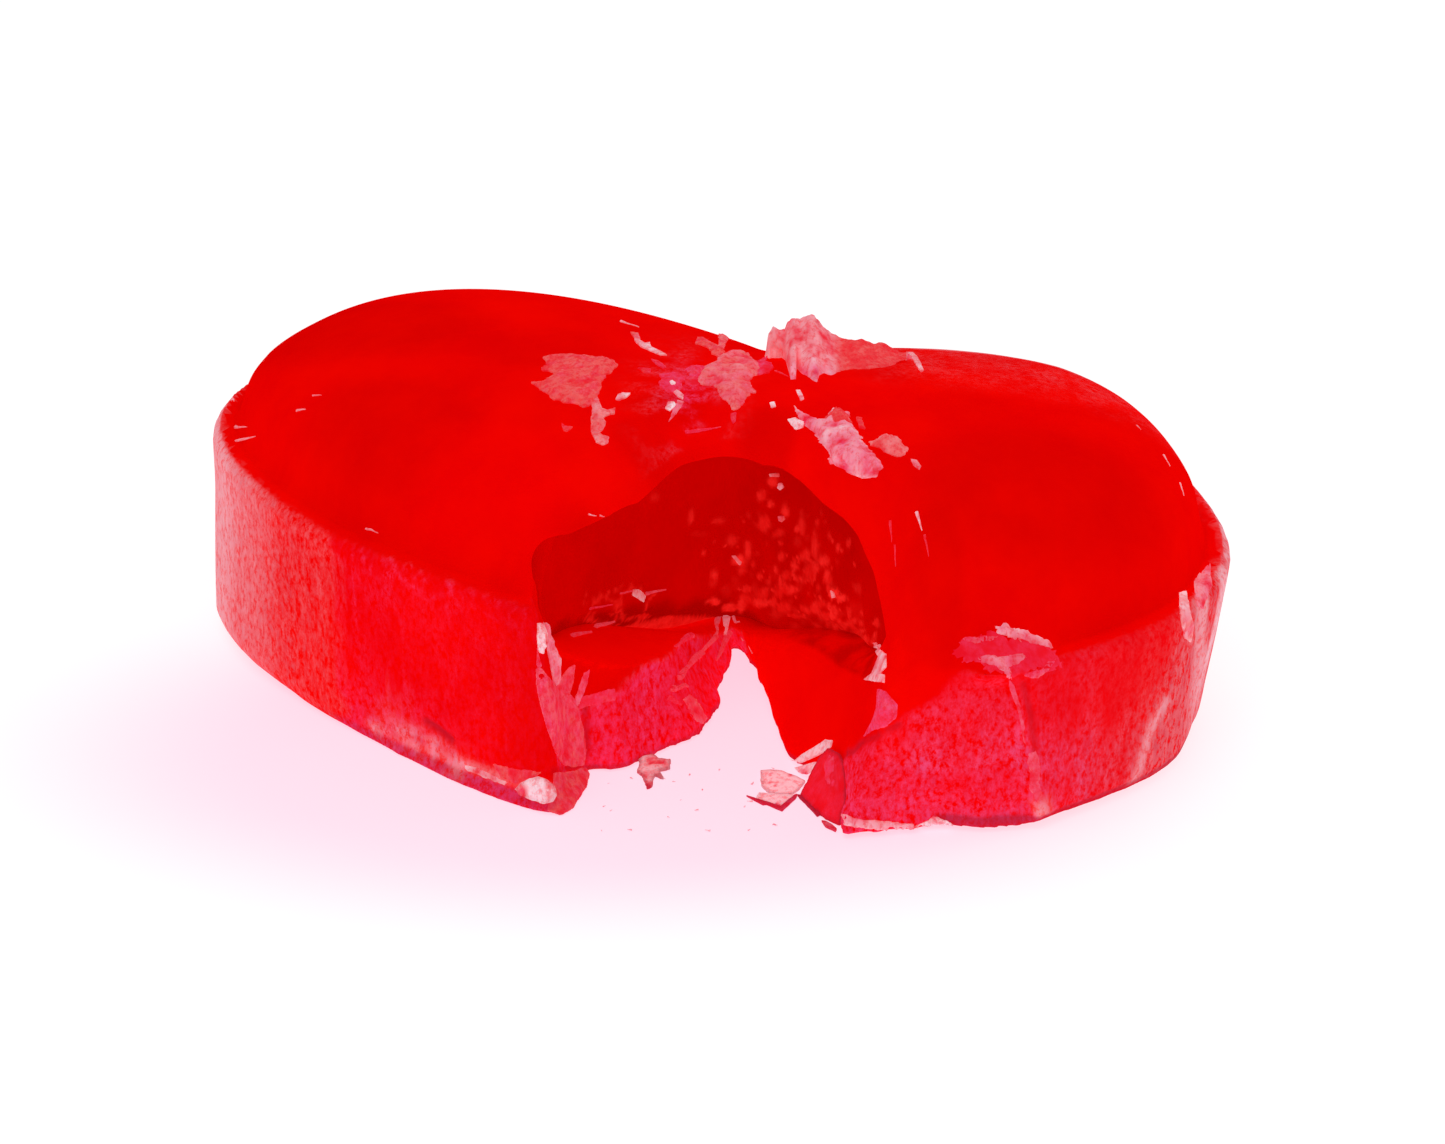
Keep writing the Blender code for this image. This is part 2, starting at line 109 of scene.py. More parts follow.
def to_drawing(point: np.ndarray) -> np.ndarray:
    """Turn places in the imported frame, m, into places in the drawing frame, mm."""
    return np.asarray(point, float) / MM - DRAWING_SHIFT


def ease(amount: np.ndarray) -> np.ndarray:
    """Smooth step from 0 to 1."""
    amount = np.clip(amount, 0.0, 1.0)
    return amount * amount * (3.0 - 2.0 * amount)


def ramp(value: np.ndarray, start: float, end: float) -> np.ndarray:
    """Smooth step of a value: 0 at start and 1 at end, whichever is the larger."""
    return ease((np.asarray(value, float) - start) / (end - start))


def fractal(points: np.ndarray, scale: tuple, seed: float, octaves: int = 1) -> np.ndarray:
    """Noise at each point, from about -1 to 1.

    Args:
        points: Places, one a row.
        scale: Waves for each millimetre along each axis.
        seed: Shift that makes one pattern differ from another.
        octaves: Layers of ever finer noise.

    Returns:
        One value for each place.
    """
    where = np.asarray(points, float) * np.asarray(scale, float) + seed
    if octaves == 1:
        return np.array([noise.noise(Vector(row)) for row in where])
    return np.array([noise.fractal(Vector(row), 0.9, 2.1, octaves) for row in where])


def away_from_line(points: np.ndarray, line: tuple) -> np.ndarray:
    """Distance of each point from a line of straight pieces, mm.

    Args:
        points: Places, one a row.
        line: Corners of the line.

    Returns:
        One distance for each place.
    """
    nearest = np.full(len(points), np.inf)
    for start, end in zip(line[:-1], line[1:]):
        first = np.array(start, float)
        along = np.array(end, float) - first
        share = np.clip((points - first) @ along / (along @ along), 0.0, 1.0)
        foot = first + share[:, None] * along
        nearest = np.minimum(nearest, np.linalg.norm(points - foot, axis=1))
    return nearest


def beside_line(points: np.ndarray, line: tuple, width: float) -> np.ndarray:
    """Nearness of each point to a line: 1 on it, fading out over the width, mm."""
    return np.exp(-((away_from_line(points, line) / width) ** 2))


def seen_height(y: np.ndarray, z: np.ndarray) -> np.ndarray:
    """Height in the picture of places at depth y and height z, mm."""
    return VIEW_COS * z + VIEW_SIN * y


def add_object(name: str, data: bpy.types.ID) -> bpy.types.Object:
    """Make an object of its data and put it in the scene."""
    made = bpy.data.objects.new(name, data)
    bpy.context.scene.collection.objects.link(made)
    return made


def look_along(item: bpy.types.Object, gaze: Vector) -> None:
    """Turn a camera or a lamp to face along a direction."""
    item.rotation_mode = "QUATERNION"
    item.rotation_quaternion = gaze.to_track_quat("-Z", "Y")


# ---------------------------------------------------------------------- the candy's form


@dataclass(frozen=True)
class Lobe:
    """One lobe of the candy: part of an oval sweet, turned about the vertical."""

    centre: tuple[float, float]
    turn: float
    half_length: float
    half_width: float
    wall_height: float
    dome_height: float
    ledge: float = 0.9
    oval_power: float = 2.4
    dome_power: float = 2.5

    def local(self, x: np.ndarray, y: np.ndarray) -> tuple[np.ndarray, np.ndarray]:
        """Distances along and across the lobe of a place in the plan."""
        angle = math.radians(self.turn)
        dx = x - self.centre[0]
        dy = y - self.centre[1]
        along = math.cos(angle) * dx + math.sin(angle) * dy
        across = -math.sin(angle) * dx + math.cos(angle) * dy
        return along, across

    def reach(self, x: np.ndarray, y: np.ndarray, inset: float) -> np.ndarray:
        """How far out a place lies: 0 at the middle and 1 on the oval drawn in by inset."""
        along, across = self.local(x, y)
        total = np.abs(along / (self.half_length - inset)) ** self.oval_power
        total = total + np.abs(across / (self.half_width - inset)) ** self.oval_power
        return total ** (1.0 / self.oval_power)

    def dome(self, x: np.ndarray, y: np.ndarray) -> np.ndarray:
        """Height of the dome over a place in the plan, or of the ledge outside it."""
        reach = np.clip(self.reach(x, y, self.ledge), 0.0, 1.0)
        rise = (1.0 - reach**self.dome_power) ** (1.0 / self.dome_power)
        return self.wall_height + self.dome_height * rise


@dataclass(frozen=True)
class Hollow:
    """Egg-shaped hollow for the filling, with a floor that steps up to the front."""

    centre: tuple[float, float, float] = (-0.8, 0.8, 5.3)
    side: float = 8.0
    front: float = 8.2
    back: float = 6.2
    rise: float = 4.4
    step: float = 1.9
    step_back: float = 4.0
    step_front: float = -1.4

    def reach(self, points: np.ndarray) -> np.ndarray:
        """How far out each place lies: 0 at the middle and 1 on the hollow's wall."""
        x = (points[:, 0] - self.centre[0]) / self.side
        dy = points[:, 1] - self.centre[1]
        y = dy / np.where(dy < 0.0, self.front, self.back)
        dz = points[:, 2] - self.centre[2]
        lift = self.step * ramp(points[:, 1], self.step_back, self.step_front)
        z = dz / np.where(dz < 0.0, self.rise - lift, self.rise)
        return np.sqrt(x * x + y * y + z * z)


@dataclass(frozen=True)
class Form:
    """The whole candy's form: both lobes, the line they join on, and the hollow."""

    left: Lobe = Lobe((-4.3, 2.1), -37.0, 14.5, 8.45, 6.9, 4.0)
    right: Lobe = Lobe((2.4, -0.5), 14.2, 13.0, 9.6, 6.0, 4.95)
    join_front: tuple[float, float] = (-0.8, -8.0)
    join_back: tuple[float, float] = (0.4, 9.0)
    join_overlap: float = 1.2
    join_fade: tuple[float, float] = (0.7, 0.6)
    join_drop: float = 9.0
    blend: float = 0.25
    hollow: Hollow = Hollow()

    def across_join(self, x: np.ndarray, y: np.ndarray) -> np.ndarray:
        """Distance to the right of the line that the lobes join on."""
        along = np.subtract(self.join_back, self.join_front)
        along = along / np.linalg.norm(along)
        return (x - self.join_front[0]) * along[1] - (y - self.join_front[1]) * along[0]

    def top(self, x: np.ndarray, y: np.ndarray) -> np.ndarray:
        """Height of the candy's upper surface, as it was before the break."""
        x = np.asarray(x, float)
        y = np.asarray(y, float)
        side = self.across_join(x, y)
        start, end = self.join_fade[0], self.join_overlap + self.join_fade[1]
        left = self.left.dome(x, y) - self.join_drop * ramp(side, start, end)
        right = self.right.dome(x, y) - self.join_drop * ramp(side, -start, -end)
        gap = np.clip(1.0 - np.abs(left - right) / self.blend, 0.0, 1.0)
        return np.maximum(left, right) + 0.25 * self.blend * gap * gap

    def top_normal(self, x: np.ndarray, y: np.ndarray) -> np.ndarray:
        """Outward normals of the upper surface."""
        step = 0.05
        dx = (self.top(x + step, y) - self.top(x - step, y)) / (2.0 * step)
        dy = (self.top(x, y + step) - self.top(x, y - step)) / (2.0 * step)
        normal = np.stack([-dx, -dy, np.ones_like(dx)], axis=1)
        return normal / np.linalg.norm(normal, axis=1, keepdims=True)


# ------------------------------------------------------------------------- mesh handling


class FineMesh:
    """A dense copy of a plain solid, with its points in the drawing frame for sculpting."""

    def __init__(self, name: str, source: bpy.types.Object, voxel: float) -> None:
        """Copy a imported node, merge its points and remesh it.

        Args:
            name: Name of the new object.
            source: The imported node.
            voxel: Size of the new faces, mm.
        """
        mesh = bpy.data.meshes.new(name)
        bm = bmesh.new()
        bm.from_mesh(source.data)
        bmesh.ops.remove_doubles(bm, verts=bm.verts, dist=0.001 * MM)
        bm.to_mesh(mesh)
        bm.free()
        self.object = add_object(name, mesh)
        remesh = self.object.modifiers.new("remesh", "REMESH")
        remesh.mode = "VOXEL"
        remesh.voxel_size = voxel * MM
        remesh.use_smooth_shade = True
        self._apply()
        self._read()

    def _apply(self) -> None:
        """Put the evaluated mesh in the place of the mesh and its modifiers."""
        graph = bpy.context.evaluated_depsgraph_get()
        result = bpy.data.meshes.new_from_object(self.object.evaluated_get(graph))
        self.object.modifiers.clear()
        before = self.object.data
        name = before.name
        self.object.data = result
        bpy.data.meshes.remove(before)
        result.name = name

    def _read(self) -> None:
        """Read the points and edges into arrays."""
        mesh = self.object.data
        count = len(mesh.vertices)
        flat = np.empty(count * 3, np.float32)
        mesh.vertices.foreach_get("co", flat)
        self.points = to_drawing(flat.reshape(-1, 3))
        edges = np.empty(len(mesh.edges) * 2, np.int32)
        mesh.edges.foreach_get("vertices", edges)
        self.edges = edges.reshape(-1, 2)
        self.degree = np.maximum(np.bincount(self.edges.ravel(), minlength=count), 1)

    def write(self) -> None:
        """Write the points back to the mesh."""
        flat = to_frame(self.points).astype(np.float32).ravel()
        self.object.data.vertices.foreach_set("co", flat)
        self.object.data.update()

    def normals(self) -> np.ndarray:
        """Outward normals at the points."""
        self.write()
        flat = np.empty(len(self.points) * 3, np.float32)
        self.object.data.vertex_normals.foreach_get("vector", flat)
        return flat.reshape(-1, 3).astype(float)

    def spread(self, values: np.ndarray, rounds: int) -> np.ndarray:
        """Average values, one for each point, with those of the points beside them."""
        first, second = self.edges[:, 0], self.edges[:, 1]
        count = len(values)
        for _ in range(rounds):
            total = np.bincount(first, values[second], count)
            total += np.bincount(second, values[first], count)
            values = 0.5 * values + 0.5 * total / self.degree
        return values

    def relax(self, weight: np.ndarray, rounds: int, axes: tuple[int, ...] = (0, 1, 2)) -> None:
        """Smooth the surface where the weight is above 0.

        Args:
            weight: From 0 to 1, one for each point.
            rounds: How many times each point moves towards its neighbours' middle.
            axes: Axes along which the points may move.
        """
        moving = np.flatnonzero(weight > 0.001)
        is_moving = np.zeros(len(self.points), bool)
        is_moving[moving] = True
        edges = self.edges[is_moving[self.edges].any(axis=1)]
        first, second = edges[:, 0], edges[:, 1]
        count = len(self.points)
        share = weight[moving]
        for _ in range(rounds):
            for axis in axes:
                values = self.points[:, axis]
                total = np.bincount(first, values[second], count)
                total += np.bincount(second, values[first], count)
                middle = total[moving] / self.degree[moving]
                values[moving] += share * (middle - values[moving])

    def paint(self, tone: Tone, values: np.ndarray) -> None:
        """Keep a value for each point as a named attribute for the materials."""
        attribute = self.object.data.attributes.new(tone.value, "FLOAT", "POINT")
        attribute.data.foreach_set("value", np.clip(values, 0.0, 1.0).astype(np.float32))

    def thin(self, ratio: float) -> None:
        """Collapse faces where the surface is smooth, down to a share of their number."""
        self.write()
        decimate = self.object.modifiers.new("thin", "DECIMATE")
        decimate.ratio = ratio
        self._apply()
        self.object.data.shade_smooth()


class Skin:
    """The finished surfaces, on which the splinters and crystals are set."""

    # Where the camera stands, and how far a seen place may lie from the one asked for, mm.
    eye = (0.0, -194.25, 103.28)
    trust = 1.6

    def __init__(self, *pieces: bpy.types.Object) -> None:
        """Index the faces of each piece."""
        graph = bpy.context.evaluated_depsgraph_get()
        self.trees = [BVHTree.FromObject(piece, graph) for piece in pieces]

    def nearest(self, place: tuple[float, float, float]) -> tuple[Vector, Vector]:
        """Find the nearest place on the candy.

        Args:
            place: Place in the drawing frame, mm.

        Returns:
            The place on the surface, in the drawing frame, mm, and the outward normal.
        """
        target = Vector(to_frame(place))
        hits = [tree.find_nearest(target) for tree in self.trees]
        point, normal, _, _ = min(hits, key=lambda hit: hit[3])
        return Vector(to_drawing(point)), normal

    def seen(self, place: tuple[float, float, float]) -> tuple[Vector, Vector]:
        """Find the place on the candy that hides the given place from the front.

        Args:
            place: Place in the drawing frame, mm.

        Returns:
            The place on the surface and its normal, or those of the nearest place.
        """
        eye = Vector(to_frame(self.eye))
        gaze = (Vector(to_frame(place)) - eye).normalized()
        hits = [hit for hit in (tree.ray_cast(eye, gaze) for tree in self.trees) if hit[0]]
        if hits:
            point, normal, _, _ = min(hits, key=lambda hit: hit[3])
            point = Vector(to_drawing(point))
            if (point - Vector(place)).length < self.trust:
                return point, normal
        return self.nearest(place)


@dataclass(frozen=True)
class Flake:
    """One flat splinter: the corners of its outline, mm, and its look."""

    outline: tuple
    rise: float = 0.15
    frost: float = 0.85
    cut: float = 0.3
    pale: float = 0.0
    dusk: float = 0.0
    fleck: float = 0.35
    rim: float = 0.0
    deep: float = 0.0
    ragged: float = 0.07
    free: bool = False


class SmallPieces:
    """A mesh that gathers many splinters, shards or crystals into one piece."""

    facing = np.array([0.0, -VIEW_COS, VIEW_SIN])
    # Lowest height of a point, and of one on a flake's upper side, mm.
    lowest = 0.004
    lowest_top = 0.02
    # For a flake, mm: spacing of the points inside it and on its rim, least gap between the
    # two, least height over the surface, and depth of its back under the surface.
    grid = 0.11
    rim_step = 0.06
    rim_gap = 0.05
    least_rise = 0.05
    sunk = 0.12

    def __init__(self, name: str) -> None:
        """Start with an empty mesh."""
        self.name = name
        self.bm = bmesh.new()
        self.tones = {tone: self.bm.verts.layers.float.new(tone.value) for tone in Tone}

    def tint(self, verts: list, **amounts: float) -> None:
        """Give points their tones, named as the tones are."""
        for vert in verts:
            for tone in Tone:
                vert[self.tones[tone]] = amounts.get(tone.value, 0.0)

    def paint(self, verts: list, tones: dict[Tone, np.ndarray]) -> None:
        """Give each point its own value of each tone."""
        for tone, values in tones.items():
            layer = self.tones[tone]
            for vert, value in zip(verts, np.clip(values, 0.0, 1.0)):
                vert[layer] = value

    def finish(self) -> bpy.types.Object:
        """Turn the faces outwards and make the object."""
        bmesh.ops.recalc_face_normals(self.bm, faces=self.bm.faces)
        for vert in self.bm.verts:
            vert.co.z = max(vert.co.z, self.lowest)
            vert.co = to_frame(vert.co)
        mesh = bpy.data.meshes.new(self.name)
        self.bm.to_mesh(mesh)
        self.bm.free()
        return add_object(self.name, mesh)

    def add_sliver(
        self,
        start: Vector,
        end: Vector,
        normal: Vector,
        width: float,
        height: float,
        seed: float,
        taper: float = 0.25,
    ) -> list:
        """Add a thin shard that lies on a surface.

        Args:
            start: Middle of its broad end, mm.
            end: Its tip, mm.
            normal: Normal of the surface under it.
            width: Width along the surface, mm.
            height: Height over the surface, mm.
            seed: Shift of its unevenness.
            taper: Width of the tip as a share of the width.

        Returns:
            Its points.
        """
        along = end - start
        length = max(along.length, 0.05)
        along = along / length
        side = normal.cross(along).normalized()
        up = along.cross(side)
        made = bmesh.ops.create_grid(self.bm, x_segments=5, y_segments=6, size=1.0)["verts"]
        for vert in made:
            around = math.pi * (vert.co.x + 1.0)
            share = 0.5 * (vert.co.y + 1.0)
            bulge = 1.0 - (1.0 - taper) * share
            bulge *= 1.0 + 0.5 * noise.noise(Vector((share * 3.1, around, seed)))
            sway = 0.4 * width * noise.noise(Vector((share * 2.0, seed, 4.0)))
            across = math.cos(around) * 0.5 * width * bulge + sway
            rise = math.sin(around) * 0.5 * height * bulge + 0.2 * height
            vert.co = start + along * (length * share) + side * across + up * rise
        self._close(made)
        return made

    def _close(self, verts: list) -> None:
        """Weld the seam of a rolled-up grid and cap its open ends."""
        bmesh.ops.remove_doubles(self.bm, verts=verts, dist=0.0005)
        alive = [vert for vert in verts if vert.is_valid]
        verts[:] = alive
        rims = {edge for vert in alive for edge in vert.link_edges if edge.is_boundary}
        bmesh.ops.holes_fill(self.bm, edges=list(rims), sides=0)

    def add_flake(self, flake: Flake, skin: Skin, seed: float) -> None:
        """Add a ragged flake, laid on the candy or standing free.

        Args:
            flake: Its outline and look.
            skin: The surfaces that it lies on.
            seed: Shift of its edge and relief.
        """
        corners = np.array(flake.outline, float)
        middle = corners.mean(axis=0)
        axes = np.linalg.svd(corners - middle)[2]
        flat = axes[2] * np.sign(axes[2] @ self.facing)
        across = np.stack([np.cross(axes[1], flat), axes[1]])
        closed = np.vstack([corners, corners[:1]]) - middle
        steps = np.append(0.0, np.cumsum(np.linalg.norm(np.diff(closed, axis=0), axis=1)))
        marks = np.linspace(0.0, steps[-1], int(max(16, steps[-1] / self.rim_step)), endpoint=False)
        ring = np.stack([np.interp(marks, steps, closed[:, axis]) for axis in range(3)], axis=1)
        depth = ring @ flat
        rim = ring @ across.T
        for axis in range(2):
            wander = fractal(ring + middle, (4.0, 4.0, 4.0), seed + 9.0 * axis, 3)
            rim[:, axis] += flake.ragged * (wander + 0.5 * fractal(ring, (13.0,) * 3, seed, 2))
        low, high = rim.min(axis=0), rim.max(axis=0)
        rows = [np.arange(start, stop, self.grid) for start, stop in zip(low, high)]
        grid = np.stack(np.meshgrid(*rows), axis=-1).reshape(-1, 2)
        grid = grid[[np.min(np.hypot(*(rim - place).T)) > self.rim_gap for place in grid]]
        around = [(corner, (corner + 1) % len(rim)) for corner in range(len(rim))]
        flat_points, _, faces, *_ = delaunay_2d_cdt(
            [Vector(place) for place in (*rim, *grid)], around, [], 1, 1e-6)
        used = sorted({corner for face in faces for corner in face})
        plan = np.array([flat_points[corner] for corner in used])
        away = np.linalg.norm(plan[:, None] - rim[None], axis=2)
        near = (away + 0.03) ** -3.0
        height = near @ depth / near.sum(axis=1)
        places = middle + plan @ across + height[:, None] * flat
        inset = away.min(axis=1)

        normals = np.tile(flat, (len(places), 1))
        if not flake.free:
            seats = [skin.seen(place) for place in places]
            places = np.array([point for point, _ in seats])
            normals = np.array([normal for _, normal in seats])
        rough = fractal(places, (1.9, 1.9, 1.9), seed, 4)
        mottle = fractal(places, (3.2, 3.2, 3.2), seed + 5.0, 3)
        lift = flake.rise * (1.0 + 0.6 * rough) * ramp(inset, -0.03, 0.2)
        upper = places + normals * np.maximum(lift, self.least_rise)[:, None]
        lower = places - normals * (0.5 * flake.rise if flake.free else self.sunk)
        paint = {
            Tone.FROST: flake.frost * (1.0 + 0.5 * mottle) - flake.fleck * ramp(-rough, 0.0, 0.7),
            Tone.CUT: flake.cut - 0.6 * mottle,
            Tone.PALE_AND_HIGHLIGHT: flake.pale * (0.85 + 1.3 * rough),
            Tone.DEEP_AND_SHADE: np.full(len(rough), flake.deep),
            Tone.DUSK_AND_SHADOW: flake.dusk + flake.rim * np.exp(-((inset / 0.07) ** 2)),
        }
        lower[:, 2] = np.maximum(lower[:, 2], self.lowest)
        upper[:, 2] = np.maximum(upper[:, 2], self.lowest_top)
        number = {corner: index for index, corner in enumerate(used)}
        sides = []
        for points in (upper, lower):
            verts = [self.bm.verts.new(place) for place in points]
            self.paint(verts, paint)
            sides.append(verts)
        for face in faces:
            loop = [number[corner] for corner in face]
            self.bm.faces.new([sides[0][corner] for corner in loop])
            self.bm.faces.new([sides[1][corner] for corner in reversed(loop)])
        border = [edge for edge in {edge for vert in sides[0] for edge in vert.link_edges}
                  if edge.is_boundary]
        twin = dict(zip(sides[0], sides[1]))
        for edge in border:
            first, last = edge.verts
            self.bm.faces.new((last, first, twin[first], twin[last]))


# ---------------------------------------------------------------------------- materials


def add_mix(tree: bpy.types.NodeTree, amount, low, high) -> bpy.types.NodeSocket:
    """Mix two colours, each of them a colour or an output, by the output that gives the amount."""
    node = tree.nodes.new("ShaderNodeMix")
    node.data_type = "RGBA"
    tree.links.new(amount, node.inputs["Factor"])
    for value, label in ((low, "A"), (high, "B")):
        socket = next(s for s in node.inputs if s.name == label and s.type == "RGBA")
        if isinstance(value, tuple):
            socket.default_value = (*value, 1.0)
        else:
            tree.links.new(value, socket)
    return next(s for s in node.outputs if s.type == "RGBA")


def add_group(name: str, inputs: dict[str, float], outputs: tuple[str, ...]) -> tuple:
    """Start a shader node group with number sockets.

    Args:
        name: Name of the group.
        inputs: Each input's name and first value.
        outputs: Names of the outputs.

    Returns:
        The group, its input node and its output node.
    """
    group = bpy.data.node_groups.new(name, "ShaderNodeTree")
    for label, value in inputs.items():
        socket = group.interface.new_socket(label, in_out="INPUT", socket_type="NodeSocketFloat")
        socket.default_value = value
    for label in outputs:
        group.interface.new_socket(label, in_out="OUTPUT", socket_type="NodeSocketFloat")
    return group, group.nodes.new("NodeGroupInput"), group.nodes.new("NodeGroupOutput")


class Speckle:
    """Fine mottling of sugar: grains drawn out up the wall, long streaks and wide clouds."""

    # Each kind's waves for a metre, stretch up the wall, detail and roughness.
    kinds = {"Grain": (5600.0, 0.6, 3.0, 0.75), "Streak": (3400.0, 0.3, 4.0, 0.75),
             "Cloud": (330.0, 0.8, 5.0, 0.7)}
    # Values of the noise that turn into 0 and 1.
    contrast = (0.36, 0.64)

    def __init__(self) -> None:
        """Build the node group, with an output for each kind of mottling."""
        waves = {kind: values[0] for kind, values in self.kinds.items()}
        group, start, end = add_group("SugarSpeckle", waves, tuple(self.kinds))
        links = group.links
        place = group.nodes.new("ShaderNodeTexCoord")
        for kind, (_, stretch, detail, rough) in self.kinds.items():
            scaled = group.nodes.new("ShaderNodeVectorMath")
            scaled.operation = "MULTIPLY"
            scaled.inputs[1].default_value = (1.0, 1.0, stretch)
            links.new(place.outputs["Object"], scaled.inputs[0])
            grain = group.nodes.new("ShaderNodeTexNoise")
            grain.inputs["Detail"].default_value = detail
            grain.inputs["Roughness"].default_value = rough
            links.new(start.outputs[kind], grain.inputs["Scale"])
            links.new(scaled.outputs["Vector"], grain.inputs["Vector"])
            spread = group.nodes.new("ShaderNodeMapRange")
            spread.inputs["From Min"].default_value = self.contrast[0]
            spread.inputs["From Max"].default_value = self.contrast[1]
            links.new(grain.outputs["Fac"], spread.inputs["Value"])
            links.new(spread.outputs["Result"], end.inputs[kind])
        self.group = group


@dataclass(frozen=True)
class SugarFinish:
    """Look of boiled sugar, from clear and polished to frosted and broken."""

    name: str
    clear: Colour
    bright: Colour
    deep: Colour
    frosted: Colour
    cut: Colour
    pale: Colour
    spot: Colour
    clear_roughness: float = 0.25
    frosted_roughness: float = 0.55
    gloss: float = 0.0
    scatter: float = 0.3
    scatter_radius: Colour = (1.0, 0.12, 0.12)
    scatter_depth: float = 1.2
    # Emission strength in the surface's own colour: a painted glow that stands in for light passing
    # through the sugar.
    light_through: float = 0.2
    sheen_floor: float = 0.45
    frost_floor: float = -0.2
    frost_swing: float = 2.4
    spots: float = 0.5
    dusk: Colour = (0.3, 0.012, 0.03)
    bump: float = 0.35
    bump_depth: float = 0.00005

    def make(self, speckle: Speckle) -> bpy.types.Material:
        """Build the material.

        Args:
            speckle: The shared mottling.

        Returns:
            A material that reads the tones of its mesh.
        """
        material = bpy.data.materials.new(self.name)
        material.use_nodes = True
        nodes = material.node_tree.nodes
        links = material.node_tree.links
        shader = nodes["Principled BSDF"]
        shader.inputs["Specular IOR Level"].default_value = self.gloss
        shader.inputs["Subsurface Weight"].default_value = self.scatter
        shader.inputs["Subsurface Radius"].default_value = self.scatter_radius
        shader.inputs["Subsurface Scale"].default_value = self.scatter_depth * MM
        mottle = nodes.new("ShaderNodeGroup")
        mottle.node_tree = speckle.group
        for socket in speckle.group.interface.items_tree:
            if socket.in_out == "INPUT":
                mottle.inputs[socket.name].default_value = socket.default_value

        def tone(kind: Tone) -> bpy.types.NodeSocket:
            node = nodes.new("ShaderNodeAttribute")
            node.attribute_name = kind.value
            return node.outputs["Fac"]

        def mixed(amount, low, high) -> bpy.types.NodeSocket:
            return add_mix(material.node_tree, amount, low, high)

        def maths(operation: str, first, second) -> bpy.types.NodeSocket:
            node = nodes.new("ShaderNodeMath")
            node.operation = operation
            node.use_clamp = True
            for value, socket in ((first, node.inputs[0]), (second, node.inputs[1])):
                if isinstance(value, float):
                    socket.default_value = value
                else:
                    links.new(value, socket)
            return node.outputs["Value"]

        frost = tone(Tone.FROST)
        base = mixed(mottle.outputs["Cloud"], self.clear, self.bright)
        # Deep tone: dark of thick sugar, and painted shade.
        base = mixed(tone(Tone.DEEP_AND_SHADE), base, self.deep)
        spotted = mixed(
            maths("MULTIPLY", mottle.outputs["Streak"], self.spots),
            mixed(tone(Tone.CUT), self.frosted, self.cut), self.spot)
        swing = nodes.new("ShaderNodeMath")
        swing.operation = "MULTIPLY_ADD"
        swing.inputs[1].default_value = self.frost_swing
        swing.inputs[2].default_value = self.frost_floor
        links.new(mottle.outputs["Grain"], swing.inputs[0])
        grain = maths("MULTIPLY", frost, swing.outputs["Value"])
        base = mixed(grain, base, spotted)
        # Pale tone: near-white sugar, and painted sheen and highlights.
        sheen = maths("MULTIPLY", tone(Tone.PALE_AND_HIGHLIGHT),
                      maths("ADD", mottle.outputs["Grain"], self.sheen_floor))
        base = mixed(sheen, base, self.pale)
        # Dusk tone: dull crimson of cracks and thin rims, and painted shadow along the feet and in
        # crevices.
        base = mixed(tone(Tone.DUSK_AND_SHADOW), base, self.dusk)
        links.new(base, shader.inputs["Base Color"])
        # Painted glow: the surface also emits its own colour, for light passing through the sugar.
        links.new(base, shader.inputs["Emission Color"])
        shader.inputs["Emission Strength"].default_value = self.light_through
        rough = nodes.new("ShaderNodeMapRange")
        rough.inputs["To Min"].default_value = self.clear_roughness
        rough.inputs["To Max"].default_value = self.frosted_roughness
        links.new(frost, rough.inputs["Value"])
        links.new(rough.outputs["Result"], shader.inputs["Roughness"])
        bump = nodes.new("ShaderNodeBump")
        bump.inputs["Strength"].default_value = self.bump
        bump.inputs["Distance"].default_value = self.bump_depth
        links.new(grain, bump.inputs["Height"])
        links.new(bump.outputs["Normal"], shader.inputs["Normal"])
        return material


SHELL_FINISH = SugarFinish(
    name="red_sugar",
    clear=(0.84, 0.0, 0.0004),
    bright=(0.92, 0.001, 0.0),
    deep=(0.48, 0.0, 0.0),
    frosted=(0.85, 0.145, 0.17),
    cut=(0.91, 0.06, 0.215),
    pale=(0.95, 0.55, 0.62),
    spot=(0.6, 0.002, 0.03),
    dusk=(0.36, 0.012, 0.035),
)
FILLING_FINISH = SugarFinish(
    name="dark_filling",
    clear=(0.54, 0.0, 0.0),
    bright=(0.62, 0.0, 0.0),
    deep=(0.31, 0.0, 0.0),
    frosted=(0.96, 0.03, 0.025),
    cut=(0.93, 0.09, 0.24),
    pale=(0.95, 0.5, 0.5),
    spot=(0.5, 0.0, 0.0),
    clear_roughness=0.18,
    # A stronger painted glow for the filling.
    light_through=0.35,
    frost_floor=0.8,
    frost_swing=0.5,
)
SPLINTER_FINISH = SugarFinish(
    name="splinter_sugar",
    clear=(0.82, 0.005, 0.02),
    bright=(0.88, 0.01, 0.02),
    deep=(0.5, 0.0, 0.0),
    frosted=(0.9, 0.125, 0.125),
    cut=(0.9, 0.075, 0.22),
    pale=(0.97, 0.66, 0.72),
    spot=(0.72, 0.02, 0.03),
    frosted_roughness=0.6,
    spots=0.35,
    frost_floor=0.35,
    frost_swing=1.2,
)


# ------------------------------------------------------------------------------- shell


